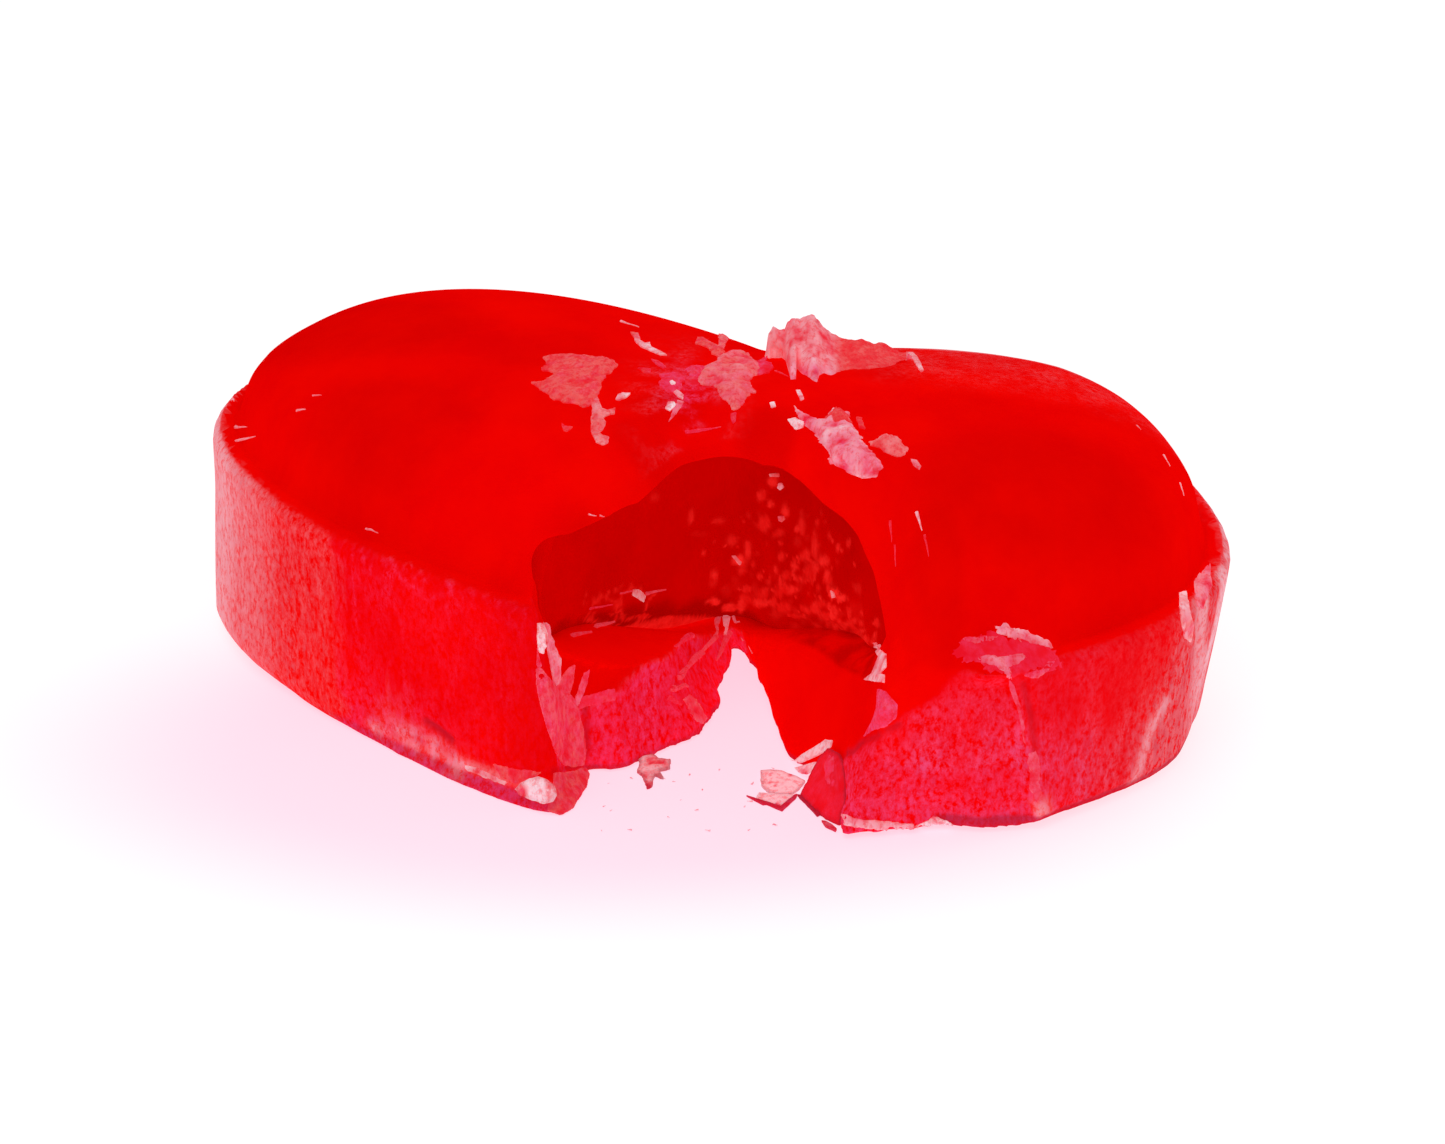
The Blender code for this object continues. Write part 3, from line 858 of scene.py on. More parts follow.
@dataclass
class CandyShell:
    """The hard candy itself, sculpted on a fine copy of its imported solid."""

    form: Form
    voxel: float = 0.125
    kept_faces: float = 0.55
    dome_catch: float = 0.75
    crack_depth: float = 0.08
    cracks: tuple = (
        # corners of the crack, width
        (((-5.08, -4.6, 2.3), (-5.05, -4.65, 1.2), (-5.0, -4.78, 0.2)), 0.09),
        (((-6.0, -6.7, 1.25), (-5.6, -5.6, 0.65), (-5.1, -4.8, 0.32)), 0.09),
        (((2.95, -7.1, 1.9), (3.29, -7.88, 2.49), (3.64, -8.28, 3.11), (4.15, -9.31, 3.87),
          (4.69, -9.23, 4.13)), 0.1),
        (((-10.1, -3.94, 1.6), (-9.73, -4.22, 1.5), (-9.3, -4.55, 1.3)), 0.13),
        (((-8.6, -5.29, 0.9), (-8.13, -5.61, 0.84), (-7.65, -6.1, 0.76)), 0.12),
        (((8.4, -8.64, 5.4), (8.62, -8.33, 4.2), (8.72, -8.1, 2.9)), 0.1),
    )
    # Upper edge of the frost on the right lobe's front wall, x and z.
    clear_from: tuple = (
        (2.9, 3.3, 3.7, 4.2, 4.8, 5.4, 5.9, 6.2, 6.6, 7.1),
        (1.9, 2.5, 3.1, 3.9, 4.5, 4.7, 5.1, 5.7, 6.1, 7.5))
    # Over this line the right side of the notch is painted dark like the filling, y and z.
    dark_from: tuple = (
        (-8.6, -7.0, -3.98, -1.44, 0.2, 1.13, 2.9), (5.6, 4.4, 3.32, 2.82, 2.35, 2.0, 1.4))
    # Right rim of the opening, z and x.
    rim_at: tuple = (
        (4.5, 5.2, 5.64, 6.0, 6.36, 6.67, 7.0, 7.32, 7.56, 7.92, 8.18, 8.8, 9.2),
        (4.1, 4.15, 4.26, 4.27, 4.2, 4.1, 3.98, 3.86, 3.64, 3.45, 3.1, 2.9, 9.0))
    # Upper edge of the fresh break on the left section, x and z.
    break_from: tuple = ((-6.9, -5.4, -4.3, -3.6, -2.6, -1.5), (2.1, 2.4, 2.65, 3.1, 3.5, 3.9))
    # Scuffed patch over the left lobe's foot.
    scuff: tuple = ((-11.7, -2.6, 0.8), (-10.9, -3.4, 0.95), (-10.2, -4.0, 0.9), (-9.2, -4.9, 0.62))
    # Edges that are moved: line, reach, axis along it, axis of the move, amounts.
    pulls: tuple = (
        (((-6.9, -4.7, 8.3), (-5.71, -4.91, 9.12), (-4.99, -4.83, 9.41), (-4.28, -4.25, 9.63),
          (-3.57, -3.52, 9.51), (-2.85, -2.56, 9.61), (-2.13, -1.68, 9.69), (-1.41, -1.28, 9.81),
          (0.05, -1.16, 9.75), (0.79, -1.28, 9.64), (1.52, -1.52, 9.52), (2.3, -2.2, 9.3)),
         1.0, 0, 2,
         (-0.4, -0.62, -0.66, -0.8, -0.64, -0.58, -0.42, -0.47, -0.46, -0.53, -0.6, -0.4)),
        (((2.3, -2.2, 9.3), (3.09, -2.98, 8.82), (3.53, -3.56, 8.57), (3.83, -3.99, 8.24),
          (4.05, -4.24, 7.83), (4.25, -4.65, 7.49), (4.4, -5.1, 7.18)),
         0.9, 2, 2, (-0.3, -0.55, -0.55, -0.5, -0.4, -0.2, 0.0)),
        (((3.09, -2.98, 8.82), (3.83, -3.99, 8.24), (4.25, -4.65, 7.49), (4.4, -5.1, 7.18),
          (4.46, -5.44, 6.81), (4.43, -5.64, 6.37), (4.37, -6.0, 6.02), (4.22, -6.06, 5.51)),
         0.9, 2, 0, (-0.12, -0.2, -0.36, -0.42, -0.38, -0.25, -0.1, 0.12)),
        (((-0.03, 2.39, 0.1), (0.51, 1.07, 0.1), (0.85, 0.32, 0.1), (1.07, -0.8, 0.2),
          (1.41, -1.58, 0.1), (1.58, -2.61, 0.2), (1.75, -3.3, 0.1)),
         0.9, 1, 0, (0.25, 0.0, -0.22, -0.32, -0.48, -0.52, -0.5)),
        (((1.6, -2.9, 0.1), (1.85, -3.5, 0.1), (2.1, -4.1, 0.1)), 0.6, 1, 1, (-0.2, -0.5, -0.3)),
        (((-0.75, 2.03, 0.2), (-0.96, -0.25, 0.1), (-1.57, -1.62, 0.1), (-1.91, -2.2, 0.1),
          (-2.43, -2.88, 0.1), (-3.13, -3.56, 0.1), (-3.7, -4.22, 0.1)),
         0.8, 1, 0, (0.1, 0.12, 0.32, 0.42, 0.28, 0.3, 0.2)),
    )
    # How far the right lobe's foot stands out, x and amount, and its direction, x and part of x.
    flare: tuple = (
        (5.6, 6.4, 7.1, 7.9, 8.8, 9.6, 11.1, 12.6, 13.3, 14.2),
        (0.0, 0.35, 0.8, 1.0, 0.98, 0.72, 0.55, 0.5, 0.4, 0.0))
    flare_turn: tuple = ((6.0, 8.0, 10.0, 12.0, 13.5), (0.1, 0.3, 0.5, 0.7, 0.85))
    # Sink of the right dome's back edge: line, amounts, and how far from the line it reaches, mm.
    back_sink: tuple = (
        ((3.0, 4.9, 10.4), (4.4, 4.9, 10.4), (5.6, 4.93, 10.34), (7.1, 4.87, 10.24),
         (8.6, 4.86, 10.0), (10.1, 4.39, 9.74)),
        (-0.25, -0.32, -0.32, -0.28, -0.15, 0.0))
    sink_reach: float = 2.2
    # Painted highlights, pale sheen streaks on the right end: corners, width.
    painted_sheens: tuple = (
        (((11.66, -5.61, 0.34), (12.43, -5.59, 2.41), (12.9, -5.2, 2.9)), 0.22),
        (((14.7, -1.6, 6.0), (14.8, -2.6, 3.0), (14.2, -3.6, 0.6)), 0.2),
        (((8.8, -7.6, 0.9), (8.9, -7.4, 0.4)), 0.25),
    )
    # Left part of the arch's edge, which is smoothed.
    arch_left: tuple = ((-5.4, -5.3, 8.9), (-3.9, -4.7, 9.6), (-2.7, -3.2, 9.4), (-1.5, -2.0, 9.6))
    # Painted light and shade on the dome, as brighter and darker patches: middle, half sizes, turn,
    # depth.
    shade_fields: tuple = (
        ((9.2, -4.0), (4.2, 2.9), 14.0, 0.22),
        ((-11.3, 0.4), (3.3, 2.2), -37.0, 0.16),
        ((-12.6, 7.2), (4.8, 2.6), -30.0, 0.2),
        ((-3.3, -1.9), (1.1, 0.9), 0.0, 0.18),
        ((0.6, -1.0), (1.0, 0.9), 0.0, 0.22),
        ((-2.6, -0.3), (1.4, 0.8), 0.0, 0.15),
        ((-5.0, -5.2), (1.6, 0.9), -20.0, 0.12),
        ((5.9, -6.8), (0.8, 2.0), 10.0, 0.14),
        ((-6.6, 3.8), (2.2, 1.6), 0.0, 0.12),
        ((-8.1, -2.6), (2.6, 1.8), -30.0, -0.12),
        ((3.6, 0.4), (2.8, 1.2), 0.0, -0.1),
        ((9.5, 2.6), (4.0, 1.6), 14.0, -0.14),
    )
    # How far the set-out wall may reach, mm: the CAD box ends just beyond.
    front_most: float = -9.42
    left_most: float = -17.41
    # Columns in which the right dome's back edge is read: their number, and how many a mm.
    columns: int = 400
    columns_per_mm: float = 8.0
    fine: FineMesh = field(init=False)

    def build(self, source: bpy.types.Object) -> bpy.types.Object:
        """Make the shell.

        Args:
            source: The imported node.

        Returns:
            The finished object.
        """
        self.fine = FineMesh("candy_shell", source, self.voxel)
        self._find_regions()
        self._polish_dome()
        self._smooth_wall()
        self._round_arch()
        self._break_faces()
        self._paint()
        self._set_out_wall()
        self.fine.thin(self.kept_faces)
        return self.fine.object

    def _find_regions(self) -> None:
        """Tell dome, wall, underside, hollow and broken faces apart."""
        points = self.fine.points
        normals = self.fine.normals()
        x, y, z = points.T
        form = self.form
        self.side = form.across_join(x, y)
        self.top = form.top(x, y)
        facing = np.sum(normals * form.top_normal(x, y), axis=1)
        on_top = (z > self.top - 0.3) & (facing > self.dome_catch)
        raised = z > self.top + 0.04
        left_reach = form.left.reach(x, y, 0.0)
        right_reach = form.right.reach(x, y, 0.0)
        self.reach = np.where(self.side < 0.0, left_reach, right_reach)
        self.wall_top = np.where(self.side < 0.0, form.left.wall_height, form.right.wall_height)
        self.wall = (self.reach > 0.915) & (z < self.wall_top + 0.15) & (normals[:, 2] < 0.75)
        self.under = (z < 0.12) & (normals[:, 2] < -0.6)
        self.dome = (on_top | raised) & ~self.wall
        egg = form.hollow.reach(points)
        self.inside = (egg < 1.035) & ~self.dome & ~self.under
        other = ~(self.dome | self.wall | self.under | self.inside)
        in_notch = (x > -6.9) & (x < 9.4) & (y < 4.6) & (z < self.top + 0.1)
        self.broken = other & in_notch & ((x < 0.4) | (y < -1.0))
        self.section = self.broken & (x < -0.15) & (z < 6.9)
        self.split = self.broken & (x > 2.4) & (y < -7.4) & (z < 6.4)
        self.facing = normals

    def _polish_dome(self) -> None:
        """Lay the dome's points on its true curve."""
        fine = self.fine
        dome = fine.spread(self.dome.astype(float), 2) > 0.6
        fine.points[dome, 2] = self.top[dome]

    def _smooth_wall(self) -> None:
        """Smooth the flats out of the wall, but keep its rim and foot."""
        z = self.fine.points[:, 2]
        middle = ramp(z, 0.7, 1.3) * ramp(self.wall_top - z, 0.4, 0.9)
        weight = np.where(self.wall, 0.15 + 0.35 * middle, np.where(self.under, 0.3, 0.0))
        self.fine.relax(weight, 25)
        steep = ~self.wall & (z > 6.2) & (self.facing[:, 2] < 0.72) & (self.reach > 0.78)
        steep = np.clip(2.0 * self.fine.spread(steep.astype(float), 2), 0.0, 1.0)
        self.fine.relax(0.5 * steep * ~self.inside, 30)

    def _round_arch(self) -> None:
        """Round the edge of the dome over the arch and smooth the right side of the notch."""
        fine = self.fine
        x, y, z = fine.points.T
        roof = ramp(z, 8.2, 9.2) * ramp(x, -5.2, -3.4) * ramp(y, 1.8, 0.0) * ramp(x, 7.8, 6.4)
        shoulder = ramp(x, 1.8, 3.0) * ramp(z, 5.2, 6.8) * ramp(y, -9.2, -8.2) * ramp(x, 9.6, 8.2)
        shoulder = shoulder * ramp(y, 1.0, -0.6)
        face = ramp(x, 0.3, 0.8) * ramp(z, 0.15, 0.5) * ramp(y, -9.0, -8.2) * ramp(y, 3.0, 2.0)
        face = face * ~(self.wall | self.dome | self.split) * ramp(x, 5.6, 5.0)
        rim = fine.spread(self.inside.astype(float), 6)
        kept = ramp(rim, 0.3, 0.05)
        fine.relax(0.5 * np.maximum(roof, shoulder) * kept, 700)
        fine.relax(0.5 * face, 120)
        foot = ramp(x, 0.3, 0.8) * ramp(x, 3.4, 2.9) * ramp(y, -8.0, -7.4) * ramp(z, 1.2, 0.6)
        fine.relax(0.5 * foot, 200, axes=(0, 1))
        spur = ramp(away_from_line(fine.points, self.arch_left), 2.2, 1.0)
        fine.relax(0.5 * spur, 350)
        for line, reach, along, axis, amounts in self.pulls:
            corners = np.array(line, float)
            order = np.argsort(corners[:, along])
            near = beside_line(fine.points, line, reach)
            amount = np.interp(
                fine.points[:, along], corners[order, along], np.array(amounts)[order])
            fine.points[:, axis] += near * amount
        corners = np.array(self.back_sink[0])
        near = beside_line(fine.points, corners, self.sink_reach)
        near = near * ramp(fine.points[:, 2], 5.0, 8.0)
        fine.points[:, 2] += near * np.interp(fine.points[:, 0], corners[:, 0], self.back_sink[1])
        fine.points[:, 2] = np.maximum(fine.points[:, 2], 0.0)

    def _break_faces(self) -> None:
        """Give the broken faces their relief."""
        fine = self.fine
        rough = self.section | self.split
        fine.relax(np.where(rough, 0.5, 0.0), 3)
        normals = fine.normals()
        points = fine.points
        height = np.zeros(len(points))
        for region, depth, waves, seed in (
            (self.section, 0.12, (1.5, 1.5, 1.1), 3.0),
            (self.split, 0.09, (1.6, 1.6, 0.8), 9.0),
        ):
            rows = np.flatnonzero(region)
            height[rows] = depth * fractal(points[rows], waves, seed, 5)
        height = fine.spread(height, 1)
        for line, width in self.cracks:
            height -= self.crack_depth * beside_line(points, line, width)
        fine.points = points + normals * height[:, None]

    def _set_out_wall(self) -> None:
        """Set the front wall and its foot further out and sharpen the foot."""
        x, y, z = self.fine.points.T.copy()
        left = self.side < 0.0
        rim = ramp(self.reach, 0.8, 0.93)
        front = left * rim * ramp(y, 3.0, -1.0) * ramp(x, -5.2, -7.0)
        end = left * rim * ramp(x, -14.5, -16.0) * ramp(z, 5.5, 0.5)
        out = np.interp(x, *self.flare) * rim * ~left * ramp(y, 0.0, -2.0)
        out = out * (0.35 + 0.65 * ramp(z, 5.5, 0.0))
        turn = np.interp(x, *self.flare_turn)
        low = 0.2 * ramp(z, 1.6, 0.25) * ramp(self.reach, 0.86, 0.93) * ramp(y, 3.0, 0.0)
        self.fine.points[:, 0] = np.maximum(x - 0.3 * end + turn * out, self.left_most)
        moved = y - 0.36 * front - np.sqrt(1.0 - turn**2) * out
        self.fine.points[:, 1] = np.maximum(moved, self.front_most)
        self.fine.points[:, 2] = np.maximum(z - low, 0.0)

    def _skyline(self, x: np.ndarray, seen: np.ndarray) -> np.ndarray:
        """Height in the picture of the right dome's back edge, from each point's x and height."""
        middle = self.columns // 2
        highest = np.full(self.columns, -np.inf)
        column = np.clip((x * self.columns_per_mm).astype(int) + middle, 0, self.columns - 1)
        np.maximum.at(highest, column, seen)
        middles = (np.arange(self.columns) - middle + 0.5) / self.columns_per_mm
        known = (highest > 0.0) & (middles > 4.8) & (middles < 14.0)
        return np.polyval(np.polyfit(middles[known], highest[known], 6), x)

    def _paint(self) -> None:
        """Say where the sugar is frosted, freshly cut, pale, deep or dull, and paint its shade,
        shadow and highlights.
        """
        fine = self.fine
        points = fine.points
        x, y, z = points.T
        left = self.side < 0.0
        left_wall = self.wall & left
        right_wall = self.wall & ~left
        broad = fractal(points, (0.35, 0.35, 0.2), 21.0, 2)
        patchy = np.clip(0.5 + 1.2 * fractal(points, (1.3, 1.3, 1.3), 2.0, 3), 0.0, 1.0)
        fresh = ramp(np.interp(x, *self.break_from) - z + 0.3 * broad, -0.15, 0.25) * self.section
        below = ramp(np.interp(x, *self.clear_from) - z + 0.2 * broad, 0.0, 0.3)
        at_foot = fine.spread((~self.under).astype(float), 4) > 0.02
        outer = (self.reach > 0.9) & (z < 1.0)
        lip = ramp(z, 0.62, 0.52) * (outer & left & (x < -5.2)) * ramp(x, -14.5, -12.0)
        flecks = ramp(fractal(points, (4.5, 4.5, 4.5), 41.0, 3), 0.16, 0.34)
        crack = np.zeros(len(x))
        for line, width in self.cracks:
            crack = np.maximum(crack, beside_line(points, line, width))
        scuff = beside_line(points, self.scuff, 0.36) * self.wall
        grains = ramp(fractal(points, (2.6, 2.6, 3.4), 51.0, 3), -0.12, 0.22)
        scuff = np.clip(scuff * (0.25 + 1.0 * grains), 0.0, 1.0)

        old = ramp(x + 0.25 * np.sin(5.0 * z), -12.75, -13.05)
        bands = fractal(points, (2.2, 2.2, 0.15), 33.0, 2)
        frost = left_wall * old * (0.17 + 0.13 * ramp(x, -13.2, -15.2) + 0.09 * bands)
        frost += left_wall * 0.22 * ramp(x, -14.9, -16.6)
        low = ramp(z + 0.3 * broad, 2.2, 1.2) * ramp(x, -8.0, -11.0)
        banded = 0.04 * ramp(-x, 11.0, 12.5) * (bands > 0.1)
        frost += left_wall * (1.0 - old) * (0.015 + 0.16 * low + banded)
        upper = ramp(z, 4.6, 6.0) * ramp(x, -12.8, -12.0) * ramp(x, -8.0, -10.5)
        frost += left_wall * flecks * (0.1 * ramp(x, -6.0, -8.0) + 0.16 * upper)
        frost += right_wall * below * (
            (0.08 + 0.2 * ramp(z + 0.5 * broad, 4.3, 2.2)) * (1.0 + 0.9 * bands)
            + 0.62 * ramp(x + 0.3 * (3.0 - z), 12.0, 13.7)
            + 0.14 * ramp(x, 8.55, 8.4) * ramp(x, 4.6, 5.6) * ramp(z, 5.9, 4.5))
        frost += self.split * below * (0.26 + 0.14 * ramp(z, 1.8, 0.6) + 0.12 * bands)
        frost += fresh * (0.36 + 0.2 * broad + 0.12 * bands)
        smear = np.exp(-(((x + 1.9) / 1.1) ** 2) - ((y - 0.6) / 2.4) ** 2) * self.dome
        frost += 0.36 * smear * ramp(patchy, 0.4, 0.7)
        back = self.dome * ramp(y, 0.5, 3.5) * ramp(x, 3.0, 5.5)
        frost += back * (0.03 + 0.12 * patchy)
        frost = np.maximum(frost, np.maximum(0.6 * lip, 0.9 * scuff)) * (1.0 - 0.9 * crack)
        fine.paint(Tone.FROST, fine.spread(frost, 1) * (1.0 - 0.8 * crack))

        cut = np.maximum(fresh, np.maximum(self.split * 0.9, smear))
        cut = np.maximum(cut, right_wall * ramp(x, 13.0, 9.0) * 0.8)
        cut = np.maximum(cut, left_wall * (1.0 - old) * (1.0 - scuff))
        fine.paint(Tone.CUT, fine.spread(cut, 3))

        # Painted highlights in the pale tone: sheen at both wall ends, streaked at the right end
        # and along the listed sheen lines.
        streaks = np.clip(0.5 + 1.5 * fractal(points, (1.6, 1.6, 0.15), 4.0, 3), 0.0, 1.0)
        sheen = left_wall * (0.3 * ramp(x, -16.2, -17.0) + 0.2 * ramp(x, -14.6, -16.2))
        sheen = sheen + right_wall * ramp(x, 13.4, 14.8) * streaks * 0.7
        for line, width in self.painted_sheens:
            sheen += 0.55 * beside_line(points, line, width) * right_wall
        strip = ramp(z, 0.58, 0.68) * ramp(z, 0.9, 0.75) * left_wall * ramp(x, -12.5, -11.0)
        pale = np.maximum(sheen, 0.65 * scuff * patchy * (0.4 + flecks))
        pale = np.maximum(pale, 0.35 * strip * (0.4 + 0.8 * patchy)) * (1.0 - crack)
        # Painted highlight: a thin pale line along the right dome's back edge as seen from the
        # camera.
        seen = seen_height(y, z)
        edge = ramp(self._skyline(x, seen) - seen, 0.07, 0.01) * self.dome
        edge = edge * ramp(x, 5.0, 5.8) * ramp(x, 13.6, 12.6) * (y > 1.0)
        pale = np.maximum(fine.spread(pale, 1), 0.38 * edge)
        fine.paint(Tone.PALE_AND_HIGHLIGHT, pale)

        # Painted shade in the deep tone: a slightly darker dome with darker and lighter patches,
        # shade under the arch's edge, the darker section, the hollow's shadowed inside and the dark
        # right side of the notch.
        lid = ~(self.wall | self.section | self.split | self.inside | self.under)
        lid = fine.spread((lid & (z > 5.5)).astype(float), 4)
        shade = lid * (0.12 + 0.1 * broad)
        for (cx, cy), (half_x, half_y), turn, depth in self.shade_fields:
            angle = math.radians(turn)
            along = (x - cx) * math.cos(angle) + (y - cy) * math.sin(angle)
            across = (y - cy) * math.cos(angle) - (x - cx) * math.sin(angle)
            away = np.hypot(along / half_x, across / half_y) + 0.12 * broad
            shade += 1.2 * depth * ramp(away, 1.25, 0.6) * lid
        # Painted shade under the left part of the arch's edge.
        arch_shade = beside_line(points, self.arch_left, 0.55)
        shade += 0.55 * arch_shade * ramp(x, 0.5, -1.5)
        shade += self.section * (1.0 - fresh) * 0.28 + 0.02 * (self.inside & (z < 4.0))
        # Painted shade: the hollow's inside under the roof, left of its right rim, is painted dark.
        hollow = self.inside & (z > 4.6) & (x < np.interp(z, *self.rim_at))
        shade = np.where(hollow, 0.9, shade)
        # The right side of the notch over the dark_from line is painted dark like the filling.
        behind = (self.inside | self.broken) & (x > 0.3) & (x < 4.6) & (y < 3.0) & (z < 7.5)
        dark = ramp(z - np.interp(y, *self.dark_from), -0.05, 0.12)
        behind &= (z < 5.0) | (x < np.interp(z, *self.rim_at))
        shade = np.where(behind, np.maximum((0.62 + 0.5 * (patchy - 0.5)) * dark, 0.1), shade)
        shade += left_wall * 0.22 * ramp(x, -8.4, -6.8) * ramp(z, 0.6, 1.4)
        fine.paint(Tone.DEEP_AND_SHADE, shade)

        # Dusk tone: painted contact shadow along the feet, the duller lip, a duller right end of
        # the front wall, and the cracks.
        rim = ramp(z, 0.26, 0.13) * (at_foot | outer) * ramp(x, 2.6, 2.0)
        right_foot = (self.reach > 0.86) & ~left & (y < 0.0)
        rim = np.maximum(rim, ramp(z, 0.72, 0.6) * ramp(x, 5.7, 6.1) * right_foot)
        dusk = np.maximum(0.62 * rim, 0.38 * lip)
        dusk = np.maximum(dusk, 0.11 * right_wall * ramp(x, 8.6, 8.9))
        fine.paint(Tone.DUSK_AND_SHADOW, np.maximum(dusk, 0.7 * crack))


@dataclass
class Filling:
    """The dark, glassy centre, seen under the arch."""

    form: Form
    voxel: float = 0.11
    reach_out: float = 0.45
    # Bright flaws in its face: x, z, half width, half height, brightness.
    flaws: tuple = (
        (-2.96, 6.94, 0.12, 0.12, 0.2), (-1.8, 5.85, 0.09, 0.18, 0.35),
        (-0.94, 5.44, 0.22, 0.08, 0.3), (-1.53, 5.16, 0.25, 0.07, 0.12),
        (-1.07, 3.39, 0.12, 0.14, 0.6), (-0.3, 3.9, 0.16, 0.12, 0.9),
        (0.05, 4.3, 0.1, 0.22, 0.45), (0.46, 6.83, 0.11, 0.14, 0.55),
        (0.76, 6.62, 0.09, 0.1, 0.5), (1.22, 6.55, 0.11, 0.16, 0.45),
        (0.8, 7.49, 0.14, 0.16, 0.55), (1.75, 6.2, 0.1, 0.3, 0.3),
        (2.15, 5.8, 0.1, 0.38, 0.45), (2.44, 5.57, 0.16, 0.14, 0.5),
        (2.56, 5.2, 0.11, 0.22, 0.5), (1.4, 3.9, 0.3, 0.09, 0.4),
        (0.0, 2.93, 0.12, 0.12, 0.55), (0.52, 2.8, 0.34, 0.1, 0.6),
        (0.4, 2.62, 0.18, 0.08, 0.4), (2.73, 4.77, 0.12, 0.12, 0.9),
        (3.02, 4.75, 0.14, 0.1, 0.6), (3.51, 5.51, 0.09, 0.14, 0.2),
        (2.2, 3.96, 0.12, 0.14, 0.4), (2.74, 4.04, 0.1, 0.24, 0.6),
        (1.62, 2.91, 0.16, 0.07, 0.3), (-1.03, 2.29, 0.16, 0.12, 0.7),
        (-0.55, 1.95, 0.2, 0.1, 0.6), (-0.17, 2.1, 0.12, 0.22, 0.55),
        (1.1, 4.9, 0.1, 0.14, 0.3), (0.9, 5.6, 0.08, 0.1, 0.25),
        (3.1, 3.6, 0.1, 0.12, 0.35), (3.4, 4.3, 0.09, 0.1, 0.3),
        (1.95, 3.4, 0.12, 0.08, 0.3), (3.75, 4.05, 0.09, 0.09, 0.3),
    )
    # Open bubbles: x, z, radius, brightness.
    bubbles: tuple = ((1.82, 4.86, 0.34, 0.5), (-4.55, 3.45, 0.4, 0.45), (-3.65, 3.45, 0.42, 0.5))
    # Random flaws: number, then the spans of size, x, z, slimness and brightness.
    kinds: tuple = (
        (110, (0.03, 0.08), (-1.6, 2.6, 4.2), (2.2, 3.6, 7.6), (0.8, 2.0), (0.1, 0.5)),
        (52, (0.08, 0.2), (-1.4, 2.2, 4.3), (2.0, 3.0, 6.6), (0.5, 1.4), (0.08, 0.35)),
    )
    # Under this line the filling's face is painted bright, as painted light coming up through the
    # clear sugar under it, x and z.
    lit: tuple = (
        (-4.2, -3.5, -2.5, -2.0, -1.6, -0.9, -0.5), (2.55, 2.62, 2.5, 2.1, 1.85, 1.5, 1.0))
    seed: int = 5
    # Darker foot of the face, x and z.
    foot: tuple = (
        (-6.5, -5.2, -4.0, -2.7, -1.0, 0.3, 1.5, 2.8, 3.6),
        (4.6, 3.9, 3.5, 3.3, 2.6, 1.9, 1.5, 1.8, 2.2))
    fine: FineMesh = field(init=False)

    def build(self, source: bpy.types.Object) -> bpy.types.Object:
        """Make the filling.

        Args:
            source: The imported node.

        Returns:
            The finished object.
        """
        self.fine = FineMesh("candy_filling", source, self.voxel)
        fine = self.fine
        fine.relax(np.full(len(fine.points), 0.5), 90)
        normals = fine.normals()
        wall = ramp(self.form.hollow.reach(fine.points), 0.86, 0.93)
        fine.points = fine.points + normals * (self.reach_out * wall)[:, None]
        bright = self._flaws()
        fine.points = fine.points + normals * (0.04 * bright)[:, None]
        x, _, z = fine.points.T
        rough = fractal(fine.points, (0.7, 0.7, 0.7), 3.0, 3)
        dark = ramp(np.interp(x, *self.foot) - z + 0.5 * rough, -0.3, 0.5)
        # Painted shade: the face darkens to the right and towards its foot.
        shade = 0.12 + 0.22 * ramp(x, -1.5, 1.5) * (1.0 + rough) + 0.65 * dark
        fine.paint(Tone.FROST, bright)
        fine.paint(Tone.DEEP_AND_SHADE, np.where(bright > 0.25, 0.0, shade))
        for tone in (Tone.CUT, Tone.PALE_AND_HIGHLIGHT, Tone.DUSK_AND_SHADOW):
            fine.paint(tone, np.zeros(len(x)))
        fine.write()
        fine.object.data.shade_smooth()
        return fine.object

    def _flaws(self) -> np.ndarray:
        """Brightness of the bubbles, flaws and specks at each point of the face, and of the painted
        light on its lower left.
        """
        draw = np.random.RandomState(self.seed)
        points = self.fine.points
        x, y, z = points.T
        front = y < 3.6
        seen = seen_height(y, z)
        wobble = 1.0 + 0.5 * fractal(points, (3.2, 3.2, 3.2), 6.0, 2)
        flaws = list(self.flaws)
        for count, sizes, across, up, slimness, values in self.kinds:
            for _ in range(count):
                size = draw.uniform(*sizes)
                flaws.append((draw.triangular(*across), draw.triangular(*up),
                              size, size * draw.uniform(*slimness), draw.uniform(*values)))

        def around(cx: float, cz: float, room: float) -> tuple:
            """The face's points near a place, and how far across and up they lie."""
            height = seen[np.argmin(np.hypot(x - cx, z - cz) + 9.0 * ~front)]
            near = front & (np.abs(x - cx) < room) & (np.abs(seen - height) < room)
            return near, x[near] - cx, seen[near] - height

        bright = np.zeros(len(points))
        for cx, cz, half_x, half_z, value in flaws:
            near, across, up = around(cx, cz, 0.8)
            away = np.hypot(across / half_x, up / half_z) * wobble[near]
            bright[near] = np.maximum(bright[near], 1.25 * value * np.exp(-((away / 1.15) ** 4)))
        for cx, cz, radius, value in self.bubbles:
            near, across, up = around(cx, cz, 1.0)
            away = np.maximum(np.abs(across), np.abs(up)) * 0.6 + 0.4 * np.hypot(across, up)
            ring = np.exp(-(((away * wobble[near] - radius) / 0.07) ** 2))
            bright[near] = np.maximum(bright[near], value * ring)
        glow = ramp(np.interp(x, *self.lit) - z, 0.0, 0.12) * ramp(x, -0.6, -0.9) * front
        return np.maximum(bright, 0.62 * glow)


# ------------------------------------------------------------------- splinters and shards


